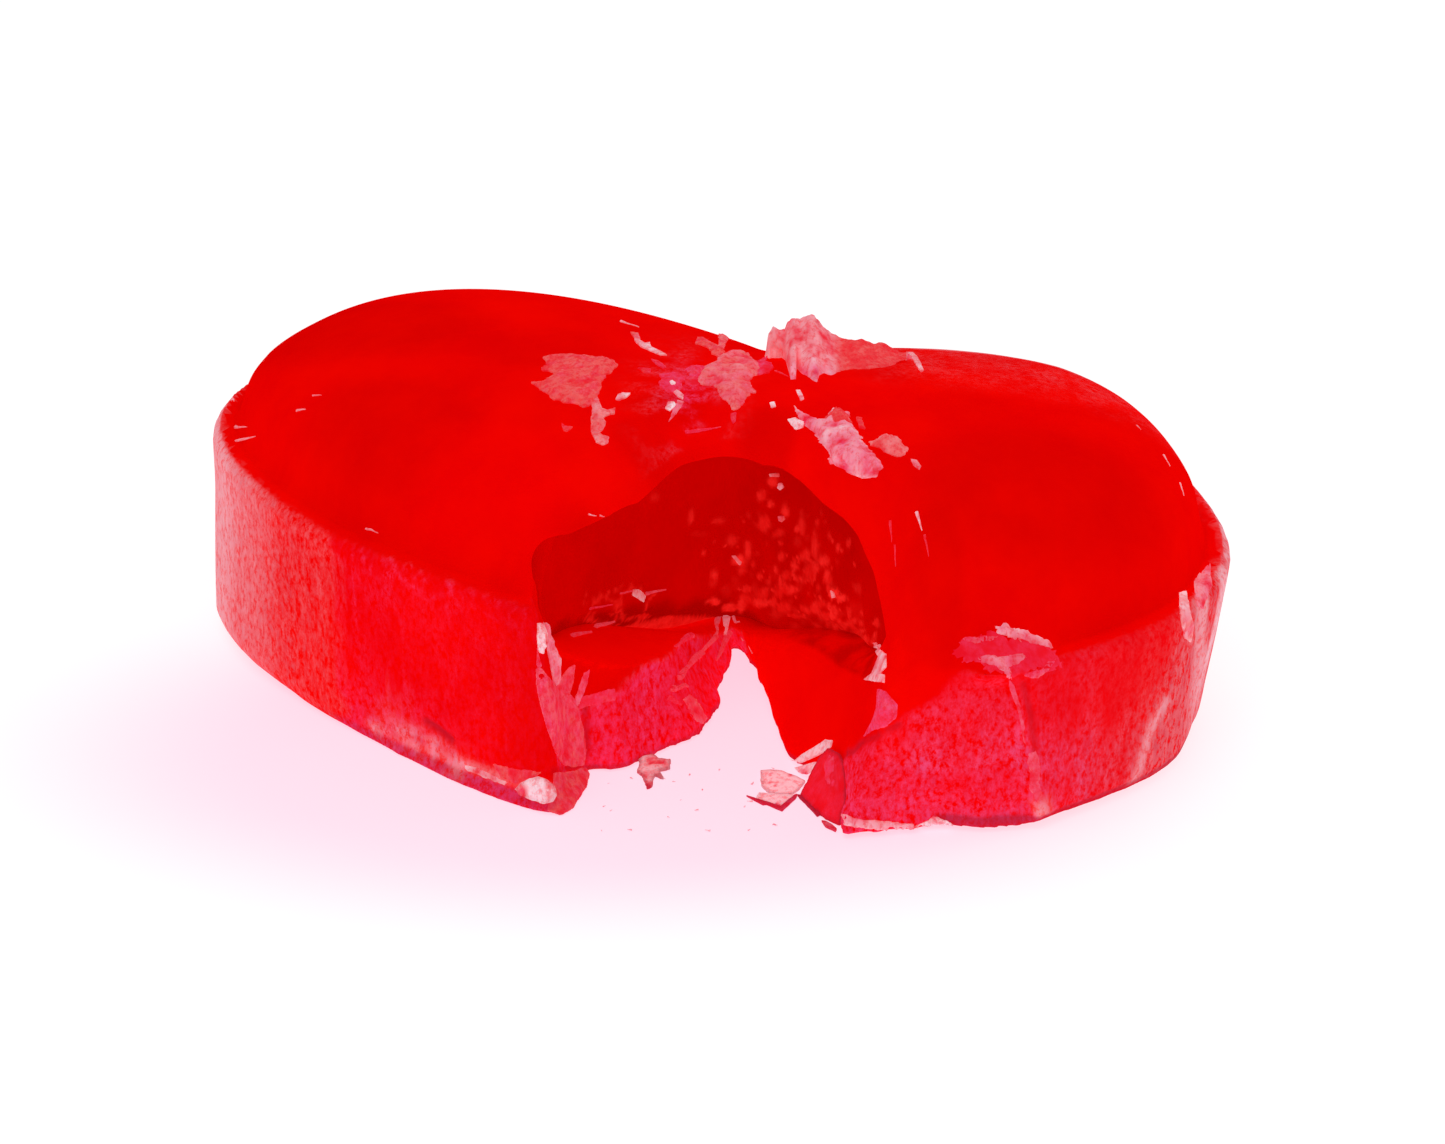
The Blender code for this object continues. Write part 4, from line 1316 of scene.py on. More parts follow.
@dataclass
class DomeSplinters:
    """Ragged plates of sugar that lie on the dome over the break, and loose glints."""

    form: Form
    skin: Skin
    # Corners in the plan; the height comes from the dome.
    plates: tuple = (
        Flake((
            (-6.43, 2.87), (-6.24, 3.1), (-5.9, 3.17), (-5.52, 3.06), (-4.98, 2.92), (-4.5, 2.88),
            (-4.2, 2.6), (-4.11, 2.22), (-4.26, 1.88), (-4.47, 1.55), (-4.57, 1.16), (-4.64, 0.82),
            (-4.56, 0.54), (-4.71, 0.25), (-4.73, 0.02), (-4.65, -0.31), (-4.91, -0.5),
            (-5.17, -0.57), (-5.39, -0.3), (-5.71, -0.2), (-6.09, 0.06), (-6.36, 0.45),
            (-6.58, 0.84), (-6.81, 1.16), (-6.49, 1.24), (-6.23, 1.48), (-6.08, 1.77),
            (-6.29, 1.88), (-6.53, 1.92), (-6.59, 2.08), (-6.38, 2.26), (-6.42, 2.59),
        ), rise=0.14, frost=0.8, cut=0.0, fleck=0.45),
        Flake((
            (-4.87, 0.25), (-4.71, 0.14), (-4.65, -0.31), (-4.56, -0.72), (-4.37, -0.83),
            (-4.14, -0.7), (-4.16, -1.04), (-4.37, -1.11), (-4.5, -1.29), (-4.41, -1.59),
            (-4.49, -1.89), (-4.61, -2.07), (-4.51, -2.25), (-4.32, -2.35), (-4.31, -2.66),
            (-4.5, -2.74), (-4.71, -2.57), (-4.82, -2.21), (-4.88, -1.74), (-4.89, -1.2),
            (-4.85, -0.72), (-4.91, -0.27),
        ), rise=0.13, frost=0.8, cut=0.1, pale=0.15, ragged=0.03),
        Flake((
            (-1.17, 2.55), (-0.96, 2.91), (-0.86, 3.33), (-0.53, 3.79), (-0.16, 3.87), (0.0, 4.06),
            (0.06, 3.55), (0.33, 2.88), (0.38, 2.21), (0.3, 1.74), (0.06, 1.19), (0.19, 0.55),
            (0.26, 0.22), (0.11, 0.17), (-0.05, -0.22), (-0.15, -0.6), (-0.28, -0.94),
            (-0.39, -1.06), (-0.49, -0.9), (-0.6, -0.46), (-0.79, -0.13), (-0.92, 0.41),
            (-1.0, 0.91), (-1.22, 0.91), (-1.43, 0.96), (-1.56, 1.13), (-1.54, 1.74), (-1.36, 2.23),
        ), rise=0.18, frost=0.85, cut=0.3, pale=0.12),
        Flake((
            (-1.97, 1.97), (-1.76, 2.34), (-1.44, 2.39), (-1.3, 2.17), (-1.43, 1.52),
            (-1.48, 1.02), (-1.64, 0.69), (-1.8, 0.86), (-1.96, 0.97), (-1.94, 1.36),
            (-1.83, 1.58), (-1.89, 1.8),
        ), rise=0.12, frost=0.55, cut=0.9, fleck=0.5),
        Flake((
            (-1.68, 4.52), (-1.57, 5.18), (-1.4, 5.17), (-1.19, 4.75), (-0.97, 4.53),
            (-0.83, 4.22), (-0.72, 3.59), (-0.91, 3.29), (-1.07, 3.5), (-1.21, 4.03), (-1.45, 4.3),
        ), rise=0.14, frost=0.75, cut=0.1),
        Flake((
            (-0.89, 5.9), (-0.94, 7.0), (-0.81, 7.4), (-0.68, 6.6), (-0.62, 6.0), (-0.67, 5.17),
            (-0.75, 4.52), (-0.8, 3.85), (-0.97, 4.12), (-0.89, 5.03),
        ), rise=0.14, frost=0.75, cut=0.1, pale=0.1),
        Flake((
            (0.3, 2.98), (0.49, 3.35), (0.62, 3.65), (0.59, 2.99), (0.73, 2.89), (0.86, 2.43),
            (0.7, 1.95), (0.48, 1.79), (0.3, 1.68), (0.32, 2.31),
        ), rise=0.1, frost=0.5, cut=1.0, fleck=0.5),
        Flake((
            (-0.51, -1.28), (-0.34, -1.17), (-0.35, -1.73), (-0.44, -1.95), (-0.51, -1.62),
        ), rise=0.06, frost=0.35, cut=0.8, ragged=0.02),
        Flake((
            (-3.05, 2.78), (-2.83, 2.62), (-2.56, 2.19), (-2.67, 2.07), (-2.88, 2.35),
        ), rise=0.08, frost=0.4, cut=0.8, ragged=0.03),
        Flake((
            (-3.45, 2.1), (-3.09, 2.0), (-3.04, 1.75), (-3.3, 1.72),
        ), rise=0.07, frost=0.3, cut=0.5, ragged=0.04),
        Flake((
            (-2.75, 1.6), (-2.35, 1.75), (-1.95, 1.5), (-2.05, 0.9), (-2.1, 0.4), (-2.5, 0.3),
            (-2.75, 0.8),
        ), rise=0.07, frost=0.5, cut=1.0, ragged=0.08),
        Flake((
            (-2.49, 1.08), (-2.36, 1.22), (-2.2, 1.1), (-2.18, 0.75), (-2.3, 0.5), (-2.44, 0.69),
        ), rise=0.18, frost=1.0, pale=1.3, fleck=0.0, ragged=0.02),
        Flake((
            (-2.57, -0.77), (-2.48, -0.35), (-2.3, -0.31), (-2.24, -0.59), (-2.42, -0.92),
        ), rise=0.14, frost=0.9, pale=1.1, fleck=0.0, ragged=0.02),
        Flake((
            (-2.4, 0.55), (-2.2, 0.5), (-2.0, 0.15), (-2.02, -0.15), (-2.15, 0.0), (-2.27, 0.24),
        ), rise=0.1, frost=0.7, cut=0.6, pale=0.3, ragged=0.02),
        Flake((
            (-2.2, -0.2), (-2.0, -0.32), (-2.22, -1.11), (-2.45, -1.6), (-2.36, -1.0),
        ), rise=0.1, frost=0.6, cut=0.9, pale=0.25, ragged=0.03),
        Flake((
            (-1.93, -2.14), (-1.52, -2.03), (-1.15, -2.08), (-0.8, -2.12), (-1.15, -2.2),
            (-1.51, -2.22), (-1.91, -2.3),
        ), rise=0.04, frost=0.3, cut=1.0, ragged=0.03),
        Flake((
            (1.47, -0.82), (1.6, -1.1), (1.91, -1.48), (2.2, -1.77), (2.42, -1.83), (2.56, -1.39),
            (2.75, -0.94), (2.94, -1.23), (3.14, -1.23), (3.19, -1.67), (3.38, -2.31),
            (3.56, -2.95), (3.81, -3.54), (4.05, -4.04), (4.17, -4.45), (4.08, -4.72),
            (3.95, -4.92), (3.6, -5.0), (3.35, -4.9), (3.09, -4.72), (2.84, -4.55), (2.53, -4.4),
            (2.47, -4.16), (2.66, -3.92), (2.54, -3.61), (2.35, -3.26), (2.16, -2.86), (2.03, -2.5),
            (1.85, -2.22), (1.72, -1.82), (1.53, -1.38),
        ), rise=0.2, frost=0.8, cut=1.0, pale=0.35, fleck=0.4),
        Flake((
            (2.42, -1.83), (2.56, -1.39), (2.75, -0.94), (2.94, -1.23), (3.14, -1.23),
            (3.19, -1.67), (3.3, -2.2), (2.95, -2.2), (2.7, -2.2),
        ), rise=0.26, frost=0.5, cut=0.0, fleck=0.3),
        Flake((
            (1.28, -1.76), (1.53, -1.62), (1.8, -1.94), (1.74, -2.3), (1.52, -2.42), (1.38, -2.1),
        ), rise=0.24, frost=1.0, pale=1.3, fleck=0.0, ragged=0.02),
        Flake((
            (3.81, -3.07), (4.07, -2.91), (4.33, -2.63), (4.58, -2.76), (4.83, -3.11),
            (4.99, -3.43), (4.88, -3.78), (4.69, -3.89), (4.44, -3.75), (4.25, -3.62),
            (4.06, -3.38), (3.87, -3.31),
        ), rise=0.16, frost=0.6, cut=0.0, pale=0.15),
        Flake((
            (5.08, -3.95), (5.26, -3.97), (5.4, -4.24), (5.34, -4.44), (5.16, -4.26),
        ), rise=0.12, frost=0.8, pale=0.2, ragged=0.02),
        Flake((
            (3.42, -1.57), (3.58, -1.63), (3.67, -2.31), (3.51, -2.31),
        ), rise=0.08, frost=0.4, cut=0.0, ragged=0.04),
        Flake((
            (0.71, -0.55), (0.86, -0.47), (0.91, -0.81), (0.76, -0.9),
        ), rise=0.12, frost=1.0, pale=0.9, fleck=0.0, ragged=0.01),
        Flake((
            (1.55, 0.36), (1.68, 0.36), (1.8, -0.27), (1.68, -0.4),
        ), rise=0.12, frost=1.0, pale=0.8, fleck=0.0, ragged=0.01),
        Flake((
            (-3.75, 5.04), (-3.51, 4.98), (-3.42, 4.29), (-3.28, 4.08), (-3.13, 4.18),
            (-3.06, 3.76), (-2.73, 3.38), (-2.57, 3.16), (-2.76, 3.16), (-3.08, 3.44),
            (-3.38, 3.76), (-3.58, 4.19), (-3.64, 4.62),
        ), rise=0.1, frost=0.9, pale=0.5, fleck=0.1, ragged=0.02),
        Flake((
            (-4.14, -0.14), (-4.07, 0.16), (-3.92, 0.28), (-3.66, 0.25), (-3.81, -0.03),
            (-4.01, -0.2),
        ), rise=0.1, frost=1.0, pale=0.5, fleck=0.0, ragged=0.01),
        Flake((
            (-5.8, -1.4), (-5.7, -1.57), (-5.46, -1.66), (-5.62, -1.85), (-5.75, -1.78),
        ), rise=0.05, frost=0.4, ragged=0.03),
        Flake((
            (5.08, 3.99), (5.24, 4.2), (5.44, 3.41), (5.62, 2.14), (5.52, 2.0), (5.32, 3.0),
            (5.17, 3.52),
        ), rise=0.1, frost=0.85, pale=0.4, fleck=0.1, ragged=0.02),
    )
    glints: tuple = (
        # start, end, width, paleness
        ((-4.1, 6.5, 10.5), (-3.5, 6.05, 10.5), 0.09, 0.5),
        ((5.25, -5.1, 9.4), (5.42, -5.6, 9.0), 0.1, 0.6),
        ((-4.9, -5.3, 9.4), (-4.65, -5.45, 9.4), 0.07, 0.4),
        ((-4.55, -5.4, 9.4), (-4.4, -5.5, 9.4), 0.07, 0.3),
        ((-14.4, 2.9, 9.0), (-14.1, 2.6, 9.2), 0.1, 0.4),
        ((-13.9, 3.2, 9.4), (-13.6, 3.0, 9.5), 0.07, 0.2),
        ((-16.9, 8.0, 7.4), (-16.8, 7.2, 7.4), 0.14, 0.6),
        ((-16.6, 5.4, 7.2), (-16.2, 5.2, 7.3), 0.12, 0.3),
        ((-16.5, 4.8, 7.0), (-15.9, 4.7, 7.2), 0.12, 0.4),
        ((-12.0, -1.7, 7.1), (-11.6, -2.0, 7.1), 0.08, 0.3),
        ((13.2, 0.6, 8.6), (13.4, 0.2, 8.4), 0.07, 0.5),
        ((13.7, -0.2, 8.0), (13.8, -0.7, 7.8), 0.08, 0.5),
        ((12.4, 1.5, 9.2), (12.5, 1.2, 9.2), 0.06, 0.3),
        ((4.45, -4.7, 8.9), (4.5, -5.0, 8.3), 0.09, 0.0),
        ((4.6, -5.0, 8.2), (4.62, -5.3, 7.6), 0.07, 0.0),
        ((5.5, -5.7, 8.9), (5.6, -6.2, 8.4), 0.09, 0.0),
        ((0.9, 1.9, 10.9), (1.3, 1.5, 10.9), 0.09, 0.0),
    )

    def build(self) -> tuple[bpy.types.Object, bpy.types.Object]:
        """Make the plates and the glints.

        Returns:
            The plates and the glints, each as one object.
        """
        plates = SmallPieces("dome_splinters")
        for index, flake in enumerate(self.plates):
            plan = np.array(flake.outline)
            height = self.form.top(plan[:, 0], plan[:, 1])
            outline = tuple(map(tuple, np.column_stack([plan, height])))
            plates.add_flake(replace(flake, outline=outline), self.skin, 7.3 * index)
        glints = SmallPieces("dome_glints")
        for index, (start, end, width, paleness) in enumerate(self.glints):
            first, normal = self.skin.seen(start)
            last, _ = self.skin.seen(end)
            made = glints.add_sliver(first, last, normal, width, 0.8 * width, 2.7 * index)
            glints.tint(made, frost=0.25 + paleness, cut=0.5, pale=paleness)
        return plates.finish(), glints.finish()


@dataclass
class Crest:
    """Broken piece of the dome that leans up at the back of the right lobe."""

    form: Form
    edge: tuple = (
        # x, height of the upper edge
        (0.55, 10.8), (0.58, 11.05), (0.7, 11.25), (0.84, 11.45), (0.97, 11.3), (1.2, 11.3),
        (1.26, 11.5), (1.39, 11.66), (1.75, 11.74), (1.95, 11.85), (2.03, 11.88), (2.15, 11.82),
        (2.28, 11.68), (2.44, 11.45), (2.68, 11.23), (2.87, 11.05), (3.04, 10.97), (3.27, 10.95),
        (3.66, 10.9), (4.19, 10.76), (4.59, 10.6), (5.1, 10.42),
    )
    foot: tuple = (
        # x, y of the front foot
        (0.55, 3.9), (0.7, 3.7), (0.87, 3.95), (1.11, 3.9), (1.23, 3.4), (1.29, 2.38),
        (1.38, 1.22), (1.55, 1.22), (1.58, 2.33), (1.71, 1.75), (1.94, 1.38), (2.22, 1.0),
        (2.29, 1.48), (2.46, 1.74), (2.71, 1.37), (2.88, 1.63), (3.11, 2.0), (3.5, 2.0),
        (3.89, 2.2), (4.42, 2.67), (5.1, 3.5),
    )
    # The same without its teeth, x and y.
    tame_foot: tuple = (
        (0.55, 1.1, 1.5, 2.0, 2.6, 3.2, 4.4, 5.1), (3.9, 3.3, 2.4, 1.9, 1.7, 2.0, 2.7, 3.5))
    edge_y: float = 4.25
    highest: float = 11.88
    foot_depth: float = 0.12
    thickness: float = 0.35
    columns: int = 170
    rows: int = 44

    def build(self) -> bpy.types.Object:
        """Make the crest."""
        pieces = SmallPieces("dome_crest")
        bm = pieces.bm
        grid = bmesh.ops.create_grid(bm, x_segments=self.columns, y_segments=self.rows, size=1.0)
        verts = grid["verts"]
        where = np.array([vert.co for vert in verts])
        across = 0.5 * (where[:, 0] + 1.0)
        up = 0.5 * (where[:, 1] + 1.0)
        edge = np.array(self.edge)
        foot = np.array(self.foot)
        x = edge[0, 0] + across * (edge[-1, 0] - edge[0, 0])
        line = np.stack([x, np.zeros_like(x), np.zeros_like(x)], axis=1)
        notches = 0.07 * ramp(x, 3.2, 2.4) * fractal(line, (5.0, 1, 1), 2.0, 3)
        edge_z = np.interp(x, edge[:, 0], edge[:, 1]) + notches
        foot_y = np.interp(x, foot[:, 0], foot[:, 1]) + 0.15 * fractal(line, (4.0, 1, 1), 8.0, 3)
        foot_y = np.minimum(foot_y, self.edge_y - 0.25)
        tame = np.interp(x, self.tame_foot[0], self.tame_foot[1])
        ends = np.minimum(ramp(across, 0.0, 0.03), ramp(across, 1.0, 0.9))
        start = tame + (foot_y - tame) * ramp(up, 0.5, 0.1)
        edge_y = self.edge_y + 0.3 * fractal(line, (0.8, 1, 1), 5.0, 3)
        y = start + (edge_y - start) * up
        foot_z = self.form.top(x, foot_y) - self.foot_depth
        belly = 0.22 * np.sin(np.pi * up)
        z = foot_z + (edge_z - foot_z) * (up + belly)
        ground = self.form.top(x, y)
        z = ground - 0.1 + (z - ground + 0.1) * ends
        rows = np.stack([x, y, z], axis=1)
        rough = fractal(rows, (1.7, 1.0, 1.7), 12.0, 4)
        z = np.minimum(z + 0.09 * rough * ends * ramp(up, 0.0, 0.3), self.highest)
        for vert, place in zip(verts, np.stack([x, y, z], axis=1)):
            vert.co = place
        tone = fractal(rows, (2.2, 1.3, 2.2), 31.0, 3)
        body = ramp(x, 3.1, 2.6)
        drip = ramp(y, 2.4, 1.7) * ramp(x, 3.0, 2.5)
        white = ramp(x, 1.2, 0.85)
        paint = {
            Tone.FROST: 0.5 + 0.35 * body - 0.15 * drip + 0.35 * tone,
            Tone.CUT: 0.35 * body + 0.65 * drip,
            Tone.PALE_AND_HIGHLIGHT: 0.22 * body + 0.35 * white + 0.45 * tone * body,
            # Painted shade in the crevices of the crest's relief.
            Tone.DUSK_AND_SHADOW: 0.15 * ramp(-rough, 0.2, 0.6) * body,
        }
        pieces.paint(verts, paint)
        lower = bmesh.ops.extrude_face_region(bm, geom=list(bm.faces))["geom"]
        for item in lower:
            if isinstance(item, bmesh.types.BMVert):
                item.co.y += self.thickness
                ground = self.form.top(np.array([item.co.x]), np.array([item.co.y]))
                item.co.z = min(float(ground[0]) - 0.15, item.co.z - 0.05)
        return pieces.finish()


@dataclass
class BrokenEdges:
    """Strands, chips, facets and flakes on the broken faces, rims, feet and filling."""

    skin: Skin
    strands: tuple = (
        # start, end, width, paleness
        ((-0.95, 3.09, 1.45), (-1.04, 1.96, 1.4), 0.2, 0.15),
        ((-1.04, 1.96, 1.4), (-1.49, 0.11, 1.75), 0.22, 0.1),
        ((-1.49, 0.11, 1.75), (-2.15, -1.95, 2.1), 0.24, 0.05),
        ((-1.8, -0.3, 2.6), (-2.3, -1.7, 2.9), 0.2, 0.0),
        ((-1.6, -0.2, 2.7), (-1.9, -0.3, 2.5), 0.16, 0.05),
        ((-0.72, 3.2, 1.5), (-0.75, 2.4, 1.2), 0.26, 0.6),
        ((-0.6, 2.6, 1.2), (-1.0, 1.2, 0.9), 0.2, 0.05),
        ((-0.25, 2.8, 1.5), (0.2, 1.3, 1.1), 0.11, 0.35),
        ((-0.42, 3.2, 1.5), (-0.1, 2.4, 1.0), 0.11, 0.25),
        ((-2.4, -2.6, 1.9), (-1.9, -1.9, 1.6), 0.22, 0.05),
        ((-2.5, -2.7, 1.6), (-2.1, -2.2, 1.1), 0.2, 0.0),
        ((-2.2, -2.3, 2.1), (-1.8, -1.6, 2.2), 0.18, 0.05),
        ((-5.0, -1.05, 3.95), (-4.3, -0.4, 3.75), 0.1, 0.0),
        ((-4.05, -0.2, 4.05), (-3.6, 0.15, 3.95), 0.08, 0.05),
        ((-3.25, 0.45, 3.7), (-2.6, 0.95, 3.6), 0.1, 0.1),
        ((-5.54, -1.95, 3.4), (-4.95, -1.2, 3.15), 0.16, 0.05),
        ((-4.85, -1.1, 3.3), (-4.25, -0.3, 3.1), 0.16, 0.1),
    )
    flakes: tuple = (
        # the fan of splinters at the left end of the break
        Flake((
            (-6.49, -6.64, 5.43), (-6.36, -6.71, 4.81), (-6.23, -6.54, 4.41), (-6.0, -5.49, 3.55),
            (-5.79, -4.84, 3.51), (-5.56, -4.66, 3.73), (-5.38, -4.6, 3.8), (-5.43, -4.62, 3.3),
            (-5.57, -4.7, 2.82), (-5.35, -4.58, 2.45), (-5.26, -4.6, 1.94), (-5.13, -4.61, 1.43),
            (-5.08, -4.69, 0.85), (-5.15, -4.83, 0.32), (-5.49, -5.33, 0.52), (-5.79, -5.78, 0.85),
            (-5.99, -6.54, 1.74), (-6.2, -6.75, 2.58), (-6.38, -6.66, 3.35), (-6.51, -6.59, 4.03),
            (-6.57, -6.57, 4.73),
        ), rise=0.1, frost=0.75, cut=0.55, fleck=0.5, ragged=0.03),
        Flake((
            (-6.5, -6.1, 6.01), (-6.33, -5.75, 5.85), (-6.28, -5.85, 5.37), (-6.33, -6.6, 5.19),
            (-6.46, -6.67, 5.29), (-6.5, -6.6, 5.79),
        ), rise=0.18, frost=1.0, pale=0.8, fleck=0.1, ragged=0.02),
        Flake((
            (-6.28, -5.6, 5.7), (-6.1, -5.4, 5.75), (-6.05, -5.3, 4.9), (-5.92, -5.0, 4.05),
            (-5.86, -5.05, 3.4), (-6.02, -5.49, 3.45), (-6.12, -5.59, 4.22), (-6.22, -5.65, 4.86),
        ), rise=0.2, frost=0.9, cut=0.8, pale=0.35, fleck=0.2, ragged=0.02),
        Flake((
            (-5.1, -4.59, 3.49), (-4.92, -4.59, 3.62), (-4.98, -4.58, 3.17), (-5.16, -4.57, 2.65),
            (-5.26, -4.56, 2.33), (-5.42, -4.62, 2.28), (-5.38, -4.58, 2.66), (-5.2, -4.58, 3.17),
        ), rise=0.12, frost=0.7, cut=0.9, pale=0.1, ragged=0.02),
        Flake((
            (-5.35, -4.6, 2.55), (-4.9, -4.57, 2.75), (-4.2, -4.4, 2.8), (-4.2, -4.4, 2.45),
            (-4.9, -4.57, 2.35), (-5.3, -4.6, 2.2),
        ), rise=0.06, frost=0.4, cut=1.0, fleck=0.1),
        # the corner piece, the white chip and the strip on the left foot
        Flake((
            (-5.99, -6.87, 1.15), (-5.5, -5.8, 0.62), (-5.1, -4.9, 0.28), (-4.98, -4.9, 0.05),
            (-5.05, -5.7, 0.03), (-5.45, -7.1, 0.02), (-5.8, -7.55, 0.02), (-6.2, -7.47, 0.15),
            (-6.05, -7.15, 0.6),
        ), rise=0.08, frost=0.75, cut=0.3, dusk=0.22, fleck=0.3, free=True, ragged=0.03),
        Flake((
            (-7.22, -6.92, 0.6), (-7.05, -6.87, 0.78), (-6.78, -6.92, 0.98), (-6.49, -7.02, 1.12),
            (-6.26, -7.2, 1.1), (-6.02, -7.38, 1.0), (-5.92, -7.4, 0.68), (-6.05, -7.5, 0.46),
            (-6.31, -7.55, 0.42), (-6.54, -7.4, 0.42), (-6.84, -7.2, 0.42), (-7.1, -7.02, 0.46),
        ), rise=0.12, frost=1.0, pale=1.5, fleck=0.15, rim=0.25, free=True, ragged=0.02),
        Flake((
            (-7.9, -5.9, 0.95), (-7.5, -6.2, 1.0), (-6.9, -6.5, 1.05), (-6.4, -6.7, 1.1),
            (-6.7, -6.7, 0.7), (-7.2, -6.4, 0.5), (-7.7, -6.1, 0.6),
        ), rise=0.06, frost=0.6, cut=0.3, ragged=0.06),
        Flake((
            (-8.85, -5.15, 0.46), (-8.5, -5.4, 0.55), (-8.1, -5.7, 0.52), (-7.5, -6.2, 0.44),
            (-7.6, -6.2, 0.33), (-8.2, -5.7, 0.33), (-8.8, -5.2, 0.33),
        ), rise=0.06, frost=0.9, pale=0.4, ragged=0.04),
        # the spur at the section's right foot
        Flake((
            (-2.05, -2.15, 1.22), (-1.85, -1.79, 1.25), (-1.49, -1.18, 0.5), (-1.28, -1.15, 0.05),
            (-1.42, -1.5, 0.02), (-1.67, -1.73, 0.31), (-1.85, -1.95, 0.8),
        ), rise=0.1, frost=0.65, cut=0.6, pale=0.1, fleck=0.3),
        # facets at the foot of the right side of the notch
        Flake((
            (2.6, -5.95, 1.55), (2.9, -6.75, 1.8), (3.05, -7.4, 1.75), (3.12, -7.9, 1.31),
            (3.1, -8.15, 0.7), (2.9, -8.2, 0.03), (2.55, -7.9, 0.03), (2.2, -7.3, 0.03),
            (1.85, -6.6, 0.03), (1.72, -6.25, 0.05), (2.02, -5.95, 0.55), (2.15, -5.9, 0.85),
            (2.38, -5.9, 1.3),
        ), rise=0.08, frost=0.12, cut=1.6, fleck=0.2, rim=0.7, deep=0.2, free=True, ragged=0.03),
        Flake((
            (2.62, -6.15, 1.5), (2.9, -6.85, 1.7), (2.98, -7.35, 1.3), (2.95, -7.6, 0.9),
            (2.72, -7.4, 0.75), (2.5, -6.9, 0.9), (2.48, -6.45, 1.25),
        ), rise=0.16, frost=0.5, cut=0.9, fleck=0.3, free=True, ragged=0.04),
        Flake((
            (4.07, -8.23, 4.86), (4.28, -8.97, 5.16), (4.63, -9.31, 4.88), (4.59, -9.27, 4.46),
            (4.33, -9.31, 4.18), (3.9, -8.5, 3.54), (3.64, -8.25, 3.2), (3.9, -8.33, 3.75),
            (4.03, -8.51, 4.35),
        ), rise=0.12, frost=0.6, cut=1.0, fleck=0.2, ragged=0.03),
        Flake((
            (4.0, -4.5, 4.55), (4.07, -4.6, 4.6), (4.12, -6.27, 5.21), (4.32, -7.47, 5.68),
            (4.31, -8.24, 5.63), (4.12, -7.6, 5.05), (4.26, -8.35, 5.42), (4.26, -8.48, 5.22),
            (3.68, -6.4, 4.2), (3.92, -6.72, 4.6), (4.03, -6.73, 4.94), (4.12, -6.66, 5.16),
            (3.98, -6.05, 5.09),
        ), rise=0.06, frost=0.9, cut=0.5, pale=0.55, fleck=0.1, ragged=0.02),
        # chips on the rim over the split
        Flake((
            (6.55, -8.35, 6.6), (7.1, -8.2, 6.7), (7.7, -8.1, 6.7), (8.3, -7.9, 6.6),
            (9.0, -7.8, 6.25), (9.6, -7.9, 5.95), (9.7, -8.0, 5.75), (9.2, -8.3, 5.6),
            (8.7, -8.6, 5.75), (8.3, -8.8, 5.6), (7.9, -9.0, 5.8), (7.3, -9.1, 6.0),
            (6.8, -8.9, 6.15), (6.4, -8.7, 6.3),
        ), rise=0.03, frost=0.17, cut=1.5, fleck=0.4, ragged=0.22),
        Flake((
            (7.63, -7.88, 6.86), (7.9, -7.77, 6.88), (8.27, -7.65, 6.69), (8.63, -7.53, 6.48),
            (9.0, -7.47, 6.25), (9.27, -7.57, 6.15), (9.44, -7.75, 6.04), (9.08, -7.72, 6.1),
            (8.72, -7.69, 6.15), (8.36, -7.67, 6.22), (8.0, -7.79, 6.45), (7.72, -7.88, 6.6),
        ), rise=0.14, frost=0.95, cut=0.6, pale=0.35),
        Flake((
            (6.6, -8.28, 6.62), (6.82, -8.2, 6.67), (7.09, -8.12, 6.58), (7.45, -7.99, 6.62),
            (7.73, -7.91, 6.48), (7.46, -8.02, 6.4), (7.0, -8.17, 6.4),
        ), rise=0.11, frost=0.7, cut=0.9, pale=0.1),
        Flake((
            (7.08, -8.81, 6.24), (7.35, -8.55, 6.25), (7.7, -8.77, 6.27), (8.15, -8.72, 6.3),
            (8.42, -8.67, 6.32), (8.6, -8.7, 6.19), (8.33, -8.81, 6.04), (8.05, -9.06, 6.0),
            (8.12, -8.74, 5.5), (7.88, -9.1, 5.89), (7.6, -9.17, 6.12), (7.24, -9.21, 6.22),
        ), rise=0.14, frost=0.8, cut=0.8, pale=0.15),
        Flake((
            (8.53, -8.57, 5.51), (8.75, -8.45, 5.62), (8.98, -8.38, 5.58), (9.25, -8.24, 5.8),
            (9.52, -8.09, 5.8), (9.3, -8.3, 5.62), (8.98, -8.45, 5.4), (8.7, -8.5, 5.4),
        ), rise=0.1, frost=0.7, cut=0.8, ragged=0.04),
        Flake((
            (8.05, -8.8, 5.5), (8.24, -8.65, 5.2), (8.42, -8.49, 4.46), (8.56, -8.3, 3.7),
            (8.62, -8.1, 2.9), (8.55, -8.1, 3.0), (8.46, -8.3, 3.8), (8.3, -8.5, 4.5),
            (8.08, -8.8, 5.2),
        ), rise=0.05, frost=0.5, cut=0.9, pale=0.05, ragged=0.03),
        Flake((
            (8.72, -8.2, 2.6), (8.95, -8.2, 2.7), (9.1, -8.2, 2.2), (9.05, -8.2, 1.6),
            (9.2, -8.2, 1.1), (9.0, -8.2, 0.9), (8.8, -8.2, 1.4), (8.78, -8.2, 2.0),
        ), rise=0.04, frost=0.5, cut=0.8, pale=0.05, ragged=0.05),
        # flakes at the right end of the candy
        Flake((
            (13.5, -4.3, 6.15), (13.77, -4.04, 6.1), (13.79, -4.65, 5.82), (13.96, -4.45, 5.1),
            (13.89, -4.4, 4.51), (13.67, -4.78, 4.86), (13.5, -4.99, 5.79),
        ), rise=0.06, frost=1.0, pale=0.55, fleck=0.1, ragged=0.03),
        Flake((
            (14.0, -3.6, 6.2), (14.4, -2.9, 6.3), (14.6, -2.4, 6.2), (14.6, -2.7, 5.6),
            (14.3, -3.4, 5.2), (14.1, -3.8, 5.5),
        ), rise=0.05, frost=0.7, cut=0.7, pale=0.2),
        # on the filling: the white glints
        Flake((
